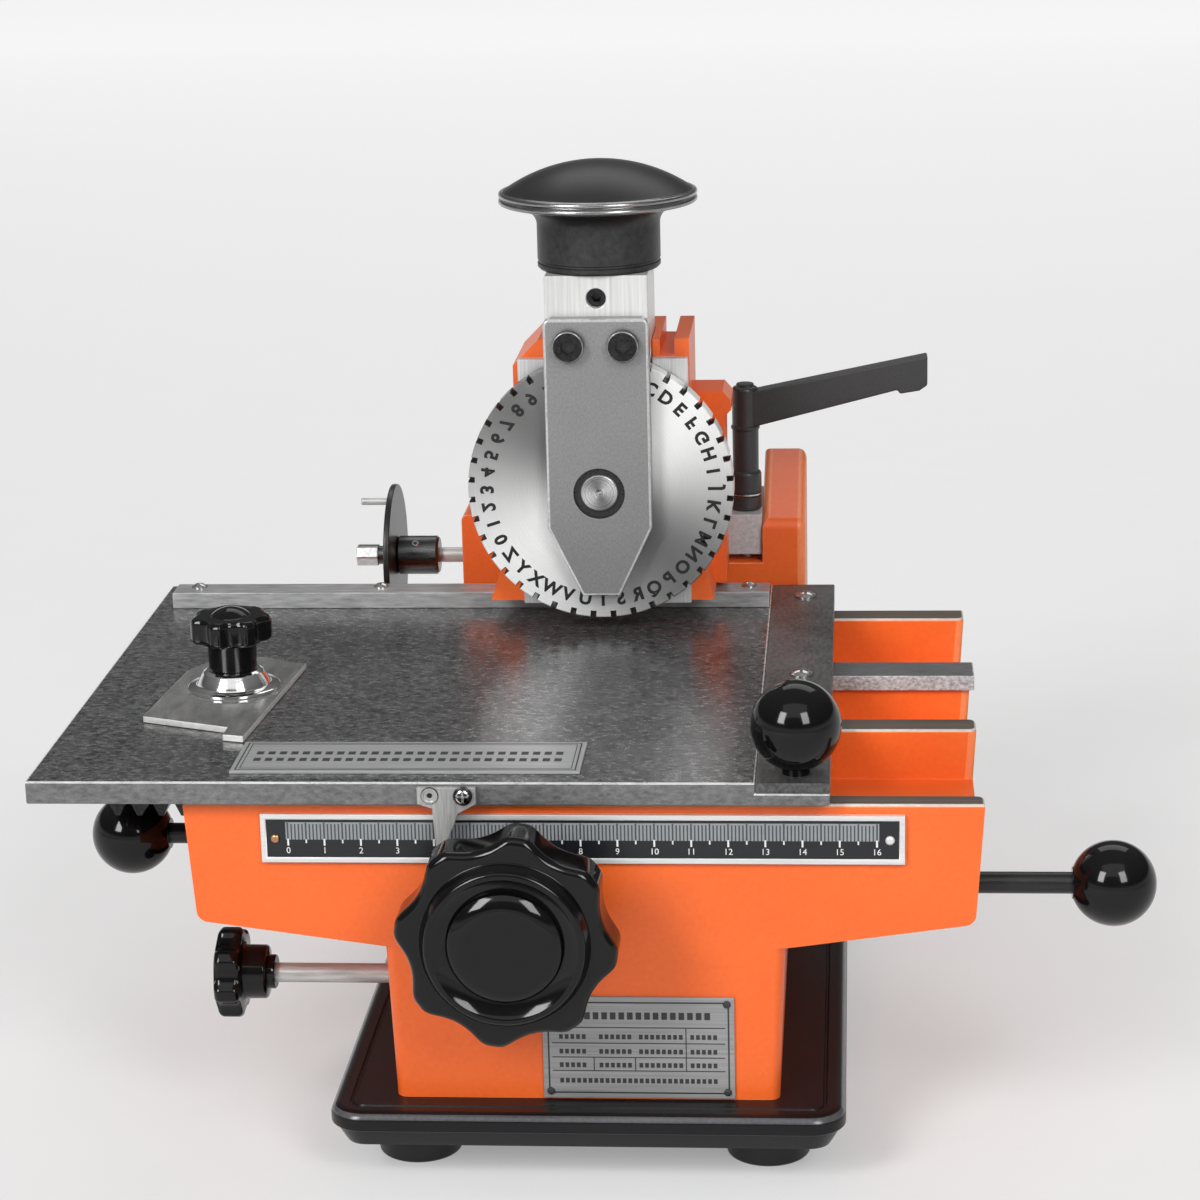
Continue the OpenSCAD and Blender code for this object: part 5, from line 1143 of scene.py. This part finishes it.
# Type wheel: a steel disc faced on the lathe, with a notch in its rim for each of its forty
# characters, which are cut in reverse, filled in black and stand with their heads to the pin.
wheel_low, wheel_high = (v * 1000 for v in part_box("type_wheel"))
wheel_r, notch_w, notch_h, notches = (wheel_high.x - wheel_low.x) / 2, 1.3, 1.8, 40
wheel_outline = []
for i in range(notches):
    middle = math.radians((i + 0.5) * 360 / notches)
    for side, depth in ((-1, 0), (-1, notch_h), (1, notch_h), (1, 0)):
        across = side * notch_w / 2
        along = math.sqrt(wheel_r ** 2 - across ** 2) - depth
        wheel_outline.append((axis_x + along * math.cos(middle) - across * math.sin(middle),
                              wheel_z + along * math.sin(middle) + across * math.cos(middle)))
    edge = math.asin(notch_w / 2 / wheel_r)
    for k in range(1, 5):
        a = middle + edge + (2 * math.pi / notches - 2 * edge) * k / 5
        wheel_outline.append((axis_x + wheel_r * math.cos(a), wheel_z + wheel_r * math.sin(a)))
# The light and dim sectors across the wheel's face are a painted sheen, standing in for the reflection of a
# turned face.
wheel_face = turned_finish("faced_wheel_steel", axis_x, wheel_z, (0.60, 0.60, 0.60), (0.84, 0.84, 0.83),
                           (0.26, 0.4), 3600.0, 0.3, sheen_sweep=0.78, turn=44, metallic=0.45)
letter_ink_and_notch_shade = printed("letter_ink_and_notch_shade", (0.006, 0.006, 0.006), 0.5)
wheel = prism(wheel_outline, wheel_low.y + 0.25, wheel_high.y)
choose(wheel, "FACE", lambda c, n: n.y < -0.9)
bpy.ops.mesh.inset(thickness=0.00025, depth=0.00025)
leave_edit()
wheel.data.materials.append(wheel_face)
wheel.data.materials.append(letter_ink_and_notch_shade)
# Painted shade: the walls and floors of the rim notches take the black ink, standing in for the shade inside
# them.
for face in wheel.data.polygons:
    reach = math.hypot(face.center.x * 1000 - axis_x, face.center.z * 1000 - wheel_z)
    if abs(face.normal.y) < 0.9 and reach < wheel_r - 0.4:
        face.material_index = 1
settle(wheel, "type_wheel_disc", "type_wheel", wheel_face, ["type_wheel"])
marks = "ABCDEFGHIJKLMNOPQRSTUVWXYZ0123456789-./&"
mark_r, mark_size = 35.4, 5.6
letters = []
for i, mark in enumerate(marks):
    a = math.radians(-90 + 9 * (marks.index("T") - i))
    letters.append(lettering(mark, mark_size, axis_x + mark_r * math.cos(a), wheel_low.y - 0.04,
                             wheel_z + mark_r * math.sin(a), (math.pi / 2, -a - math.pi / 2, 0),
                             reverse=True))
settle(joined(letters), "type_wheel_letters", "type_wheel", letter_ink_and_notch_shade)


# Locking lever: a satin black moulded handle on a stud behind the head. Its arm rises to a small lip,
# and a bright ring sits on its collar.
lever_black = grained("satin_black_lever", (0.020, 0.020, 0.021), (0.042, 0.042, 0.043), (0.28, 0.42),
                      scale=1300.0, depth=0.12)
lever_low, lever_high = (v * 1000 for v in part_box("lock_lever"))
stud_x, stud_y = 38.6 - mid_x, 210 - mid_y
collar_h, collar_r, hub_r, hub_top = 12.7, 5.1, 4.7, 41.7
lever_end, lever_top = lever_high.x, lever_low.z + hub_top
hub = turned([(2.6, 0), (collar_r - 0.5, 0), (collar_r, 0.5), (collar_r, 4.4), (collar_r - 0.4, 4.7),
              (collar_r - 0.4, 5.6),
              (collar_r, 5.9), (collar_r, collar_h - 1.0), (collar_r - 0.3, collar_h - 0.3),
              (hub_r - 0.5, collar_h + 0.1),
              (hub_r - 0.4, 26.5), (hub_r, 26.8), (hub_r, 27.6), (hub_r - 0.4, 27.9),
              (hub_r - 0.4, hub_top - 2.2)]
             + bow(hub_r - 1.6, hub_top - 2.2, 1.2, 0, 80, 5)
             + [(2.9, hub_top - 0.9), (2.9, hub_top - 0.3), (2.6, hub_top), (0.8, hub_top)], 72)
hub.location = (stud_x * 0.001, stud_y * 0.001, lever_low.z * 0.001)
bpy.ops.object.transform_apply(location=True, rotation=True, scale=True)
grip = prism([(stud_x + 1, lever_top - 14.5), (lever_end - 9.5, lever_top - 2.1),
              (lever_end - 9.0, lever_top - 3.4),
              (lever_end - 2.6, lever_top - 2.4), (lever_end, lever_top - 0.6), (lever_end, lever_high.z),
              (stud_x + 1, lever_top - 2.6)], stud_y - 3.5, stud_y + 3.5)
flatten(grip)
round_edges(grip, 0.0008, 3)
lever = joined([hub, grip])
settle(lever, "lock_lever_handle", "lock_lever", lever_black, ["lock_lever"], smooth=40)
ring_z = lever_low.z + 4.9
ring = turned([(collar_r - 0.5, 0), (collar_r + 0.1, 0.05), (collar_r + 0.1, 0.5), (collar_r - 0.5, 0.55)],
              72)
ring.location = (stud_x * 0.001, stud_y * 0.001, ring_z * 0.001)
settle(ring, "lock_lever_ring", "lock_lever", screw_bright)


# Line-feed crank: a thin black disc with a bright pin, on a blued hub and a shaft that turn the pinion
# under the head. A grub screw holds the hub, and a hexagon nut on a spacer holds the disc.
bright_rod = steel("drawn_rod_steel", (0.36, 0.37, 0.36), (0.70, 0.71, 0.70), (0.26, 0.42), (0.2, 2, 2),
                   scale=420.0, cloud=0.4, contrast=(0.36, 0.64), metallic=0.35)
disc_black = grained("black_disc_enamel", (0.006, 0.006, 0.006), (0.016, 0.016, 0.016), (0.24, 0.38),
                     scale=1000.0, depth=0.06)
hub_low, hub_high = (v * 1000 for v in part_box("crank_hub"))
nut_low, nut_high = (v * 1000 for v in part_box("crank_nut"))
disc_low, disc_high = (v * 1000 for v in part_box("crank_disc"))
crank_y, crank_z = (hub_low.y + hub_high.y) / 2, (hub_low.z + hub_high.z) / 2
disc_r, disc_t = (disc_high.y - disc_low.y) / 2, 2.0
disc = turned([(2.9, 0), (disc_r - 0.5, 0)] + bow(disc_r - 0.5, 0.5, 0.5, -90, 0, 3)
              + bow(disc_r - 0.5, disc_t - 0.5, 0.5, 0, 90, 3)
              + [(2.9, disc_t)], 128)
disc.rotation_euler = (0, -math.pi / 2, 0)
disc.location = (hub_low.x * 0.001, crank_y * 0.001, crank_z * 0.001)
settle(disc, "crank_disc_plate", "crank", disc_black, ["crank_disc"])
crank_pin = turned([(1.2, 0), (1.2, 9.4)] + bow(0.7, 9.5, 0.5, 0, 90, 4) + [(0.2, 10)], 40)
crank_pin.rotation_euler = (0, -math.pi / 2, 0)
crank_pin.location = ((hub_low.x - disc_t) * 0.001, crank_y * 0.001, (crank_z + 18.6) * 0.001)
settle(crank_pin, "crank_disc_pin", "crank", bright_rod)
hub_l = hub_high.x - hub_low.x
crank_hub_r = (hub_high.y - hub_low.y) / 2
hub = turned([(2.9, 0), (crank_hub_r - 0.6, 0), (crank_hub_r, 0.6), (crank_hub_r, hub_l - 0.8),
              (crank_hub_r - 0.8, hub_l), (2.9, hub_l)], 72)
hub.rotation_euler = (0, math.pi / 2, 0)
hub.location = (hub_low.x * 0.001, crank_y * 0.001, crank_z * 0.001)
dark_hub = steel("blued_hub_steel", (0.05, 0.05, 0.052), (0.16, 0.16, 0.162), (0.22, 0.34), (0.2, 2, 2),
                 scale=600.0)
settle(hub, "crank_hub_boss", "crank", dark_hub, ["crank_hub"])
grub = turned([(0.5, -0.4), (1.3, -0.4), (1.3, 0.1), (1.1, 0.3), (0.6, 0.3), (0.5, -0.1)], 36)
lean = math.radians(50)
grub.rotation_euler = (math.pi / 2 - lean, 0, 0)
grub.location = ((hub_low.x + hub_l * 0.45) * 0.001, (crank_y - crank_hub_r * math.cos(lean)) * 0.001,
                 (crank_z + crank_hub_r * math.sin(lean)) * 0.001)
settle(grub, "crank_hub_grub", "crank", screw_bright)
nut_end = nut_high.x - 4.6
nut = start(bpy.ops.mesh.primitive_cylinder_add, vertices=6, radius=(nut_high.z - nut_low.z) * 0.0005,
            depth=(nut_end - nut_low.x) * 0.001, rotation=(0, math.pi / 2, 0),
            location=((nut_low.x + nut_end) * 0.0005, crank_y * 0.001, crank_z * 0.001))
bpy.ops.object.transform_apply(location=True, rotation=True, scale=True)
round_edges(nut, 0.0004, 3)
nut.data.materials.append(screw_bright)
nut.data.materials.append(dark_hub)
spacer = turned([(2.6, 0), (3.1, 0), (3.1, 4.6), (2.6, 4.6)], 48)
spacer.rotation_euler = (0, math.pi / 2, 0)
spacer.location = (nut_end * 0.001, crank_y * 0.001, crank_z * 0.001)
spacer.data.materials.append(dark_hub)
settle(joined([nut, spacer]), "crank_hex_nut", "crank", screw_bright, ["crank_nut"])
rod_black = grained("blackened_rod", (0.010, 0.010, 0.010), (0.028, 0.028, 0.028), (0.22, 0.34),
                    metallic=0.3, scale=700.0, stretch=(0.05, 3, 3), depth=0.06, specular=0.4)
dress(bright_rod, "crank_shaft", "tension_shaft")
dress(rod_black, "release_rod", "feed_rod")


# Left and right controls: a star knob that sets the tension on a bright shaft, and two blackened pull
# rods, each with a glossy black ball.
knob_low, knob_high = (v * 1000 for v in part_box("tension_knob"))
knob_l, knob_r = knob_high.x - knob_low.x, (knob_high.y - knob_low.y) / 2
knob_y, knob_z = (knob_low.y + knob_high.y) / 2, (knob_low.z + knob_high.z) / 2
disc_low = knob_l - 7.8
tension_outline = (
    [(2.9, 0), (4.6, 0), (4.9, 0.3), (4.9, 2.0), (5.4, 2.2), (7.2, 2.4), (7.7, 2.9), (7.8, disc_low - 0.6),
     (8.6, disc_low)]
    + bow(knob_r - 1.9, disc_low + 1.5, 1.5, -90, 0, 5) + bow(knob_r - 2.3, knob_l - 2.6, 1.9, 0, 85, 6)
    + [(8.6, knob_l - 0.7), (7.6, knob_l - 1.0), (6.6, knob_l - 0.8)] + bow(5.4, knob_l - 0.8, 0.8, 0, 90, 4)
    + [(0.8, knob_l)])
tension = turned(tension_outline, 168, lobed(knob_r, 7, 2.2, 5.2, blunt=0.5))
tension.rotation_euler = (0, -math.pi / 2, 0)
tension.location = (knob_high.x * 0.001, knob_y * 0.001, knob_z * 0.001)
settle(tension, "tension_star_knob", "tension", gloss_black, ["tension_knob"], smooth=45)
for node, name, body, way in (("release_ball", "release_ball_knob", "release", -1),
                              ("feed_ball", "feed_ball_knob", "feed", 1)):
    ball_low, ball_high = (v * 1000 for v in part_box(node))
    ball_r = (ball_high.z - ball_low.z) / 2
    end = ball_low.x + ball_r if way < 0 else ball_high.x - ball_r
    grip = ball(ball_r, 4.4, -ball_r * 0.95)
    grip.rotation_euler = (0, way * math.pi / 2, 0)
    grip.location = (end * 0.001, (ball_low.y + ball_r) * 0.001, (ball_low.z + ball_r) * 0.001)
    settle(grip, name, body, gloss_black, [node], smooth=40)
bronze = steel("bush_bronze", (0.34, 0.20, 0.08), (0.54, 0.36, 0.17), (0.28, 0.42), (1, 1, 1), scale=700.0)
dress(bronze, "shaft_bushes")


# Studio: a pale floor, two window-like softboxes in front, and a weak soft light high in front and
# high behind. The sky is pale at the horizon, and the floor glows a little more with its depth.
bpy.ops.object.camera_add(location=(0.0724443, -0.9474394, 0.3989776),
                          rotation=[math.radians(v) for v in (74.53736, 1.32534, 4.28583)])
camera = bpy.context.active_object
camera.data.lens, camera.data.sensor_width = 98.543, 36
bpy.context.scene.camera = camera


def softbox(name, place, aim, size, radiance):
    """A soft rectangular light that faces a point."""
    bpy.ops.object.light_add(type="AREA", location=place)
    lamp = bpy.context.active_object
    lamp.name = name
    lamp.data.shape = "RECTANGLE"
    lamp.data.size, lamp.data.size_y = size
    lamp.data.energy = radiance * math.pi * size[0] * size[1]
    way = Vector(aim) - Vector(place)
    lamp.rotation_euler = way.to_track_quat("-Z", "Y").to_euler()
    return lamp


def tone_ramp(tree, tones):
    """Grey tones along a value from 0 to 1, as pairs of place and tone, the last of them at 1."""
    ramp = put(tree, "ShaderNodeValToRGB")
    marks = ramp.color_ramp.elements
    marks.remove(marks[0])
    for place, tone in tones:
        mark = marks[-1] if place == 1.0 else marks.new(place)
        mark.color = (tone, tone, tone, 1)
    return ramp


softbox("window_left", (-1.01, -1.39, 1.15), (0, 0, 0.12), (0.56, 0.92), 16)
softbox("window_right", (0.83, -1.50, 1.15), (0, 0, 0.12), (0.56, 0.92), 11)
softbox("front_ceiling", (0, -1.5, 2.1), (0, 0, 0.1), (2.6, 1.6), 0.8)
softbox("back_ceiling", (0.2, 1.6, 2.0), (0, 0, 0.1), (2.0, 1.0), 1.4)
world = bpy.data.worlds.new("studio")
world.use_nodes = True
bpy.context.scene.world = world
sky = world.node_tree
sky_place = put(sky, "ShaderNodeTexCoord")
sky_axes = put(sky, "ShaderNodeSeparateXYZ")
sky_tones = tone_ramp(sky, ((0.0, 0.72), (0.08, 0.72), (0.18, 0.08), (1.0, 0.30)))
for a, b in (
    (sky_place.outputs["Generated"], sky_axes.inputs["Vector"]),
    (sky_axes.outputs["Z"], sky_tones.inputs["Fac"]),
    (sky_tones.outputs["Color"], sky.nodes["Background"].inputs["Color"]),
):
    sky.links.new(a, b)
floor_paper, floor_tree, floor_shader = new_finish("pale_floor")
floor_grain = put(floor_tree, "ShaderNodeGroup", {"node_tree": grain_group}, Scale=60.0, Stretch=(1, 1, 1),
                  Depth=0.0)
floor_tones = put(floor_tree, "ShaderNodeMix", {"data_type": "RGBA"})
floor_tones.inputs["A"].default_value = (0.50, 0.50, 0.50, 1)
floor_tones.inputs["B"].default_value = (0.53, 0.53, 0.53, 1)
floor_place = put(floor_tree, "ShaderNodeTexCoord")
floor_axes = put(floor_tree, "ShaderNodeSeparateXYZ")
floor_far = put(floor_tree, "ShaderNodeMapRange", From_Min=-4.0, From_Max=3.0, To_Min=0.0, To_Max=1.0)
floor_depth = tone_ramp(floor_tree, ((0.0, 0.60), (0.36, 0.22), (0.50, 0.16), (0.57, 0.35), (1.0, 0.76)))
floor_ray = put(floor_tree, "ShaderNodeLightPath")
floor_mirrored = put(floor_tree, "ShaderNodeMath", {"operation": "MAXIMUM"})
floor_seen = put(floor_tree, "ShaderNodeMath", {"operation": "MAXIMUM"})
floor_glow = put(floor_tree, "ShaderNodeMath", {"operation": "MULTIPLY"})
for a, b in (
    (floor_grain.outputs["Cloud"], floor_tones.inputs["Factor"]),
    (floor_tones.outputs["Result"], floor_shader.inputs["Base Color"]),
    (floor_place.outputs["Object"], floor_axes.inputs["Vector"]),
    (floor_axes.outputs["Y"], floor_far.inputs["Value"]),
    (floor_ray.outputs["Is Glossy Ray"], floor_mirrored.inputs[0]),
    (floor_ray.outputs["Is Transmission Ray"], floor_mirrored.inputs[1]),
    (floor_ray.outputs["Is Camera Ray"], floor_seen.inputs[0]),
    (floor_mirrored.outputs["Value"], floor_seen.inputs[1]),
    (floor_seen.outputs["Value"], floor_glow.inputs[0]),
    (floor_far.outputs["Result"], floor_depth.inputs["Fac"]),
    (floor_depth.outputs["Color"], floor_glow.inputs[1]),
    (floor_glow.outputs["Value"], floor_shader.inputs["Emission Strength"]),
):
    floor_tree.links.new(a, b)
floor_shader.inputs["Roughness"].default_value = 0.75
floor_shader.inputs["Specular IOR Level"].default_value = 0.2
floor_shader.inputs["Emission Color"].default_value = (1, 1, 1, 1)
bpy.ops.mesh.primitive_plane_add(size=30, location=(0, 0, 0))
floor = bpy.context.active_object
floor.name = "studio_floor"
floor.data.materials.append(floor_paper)
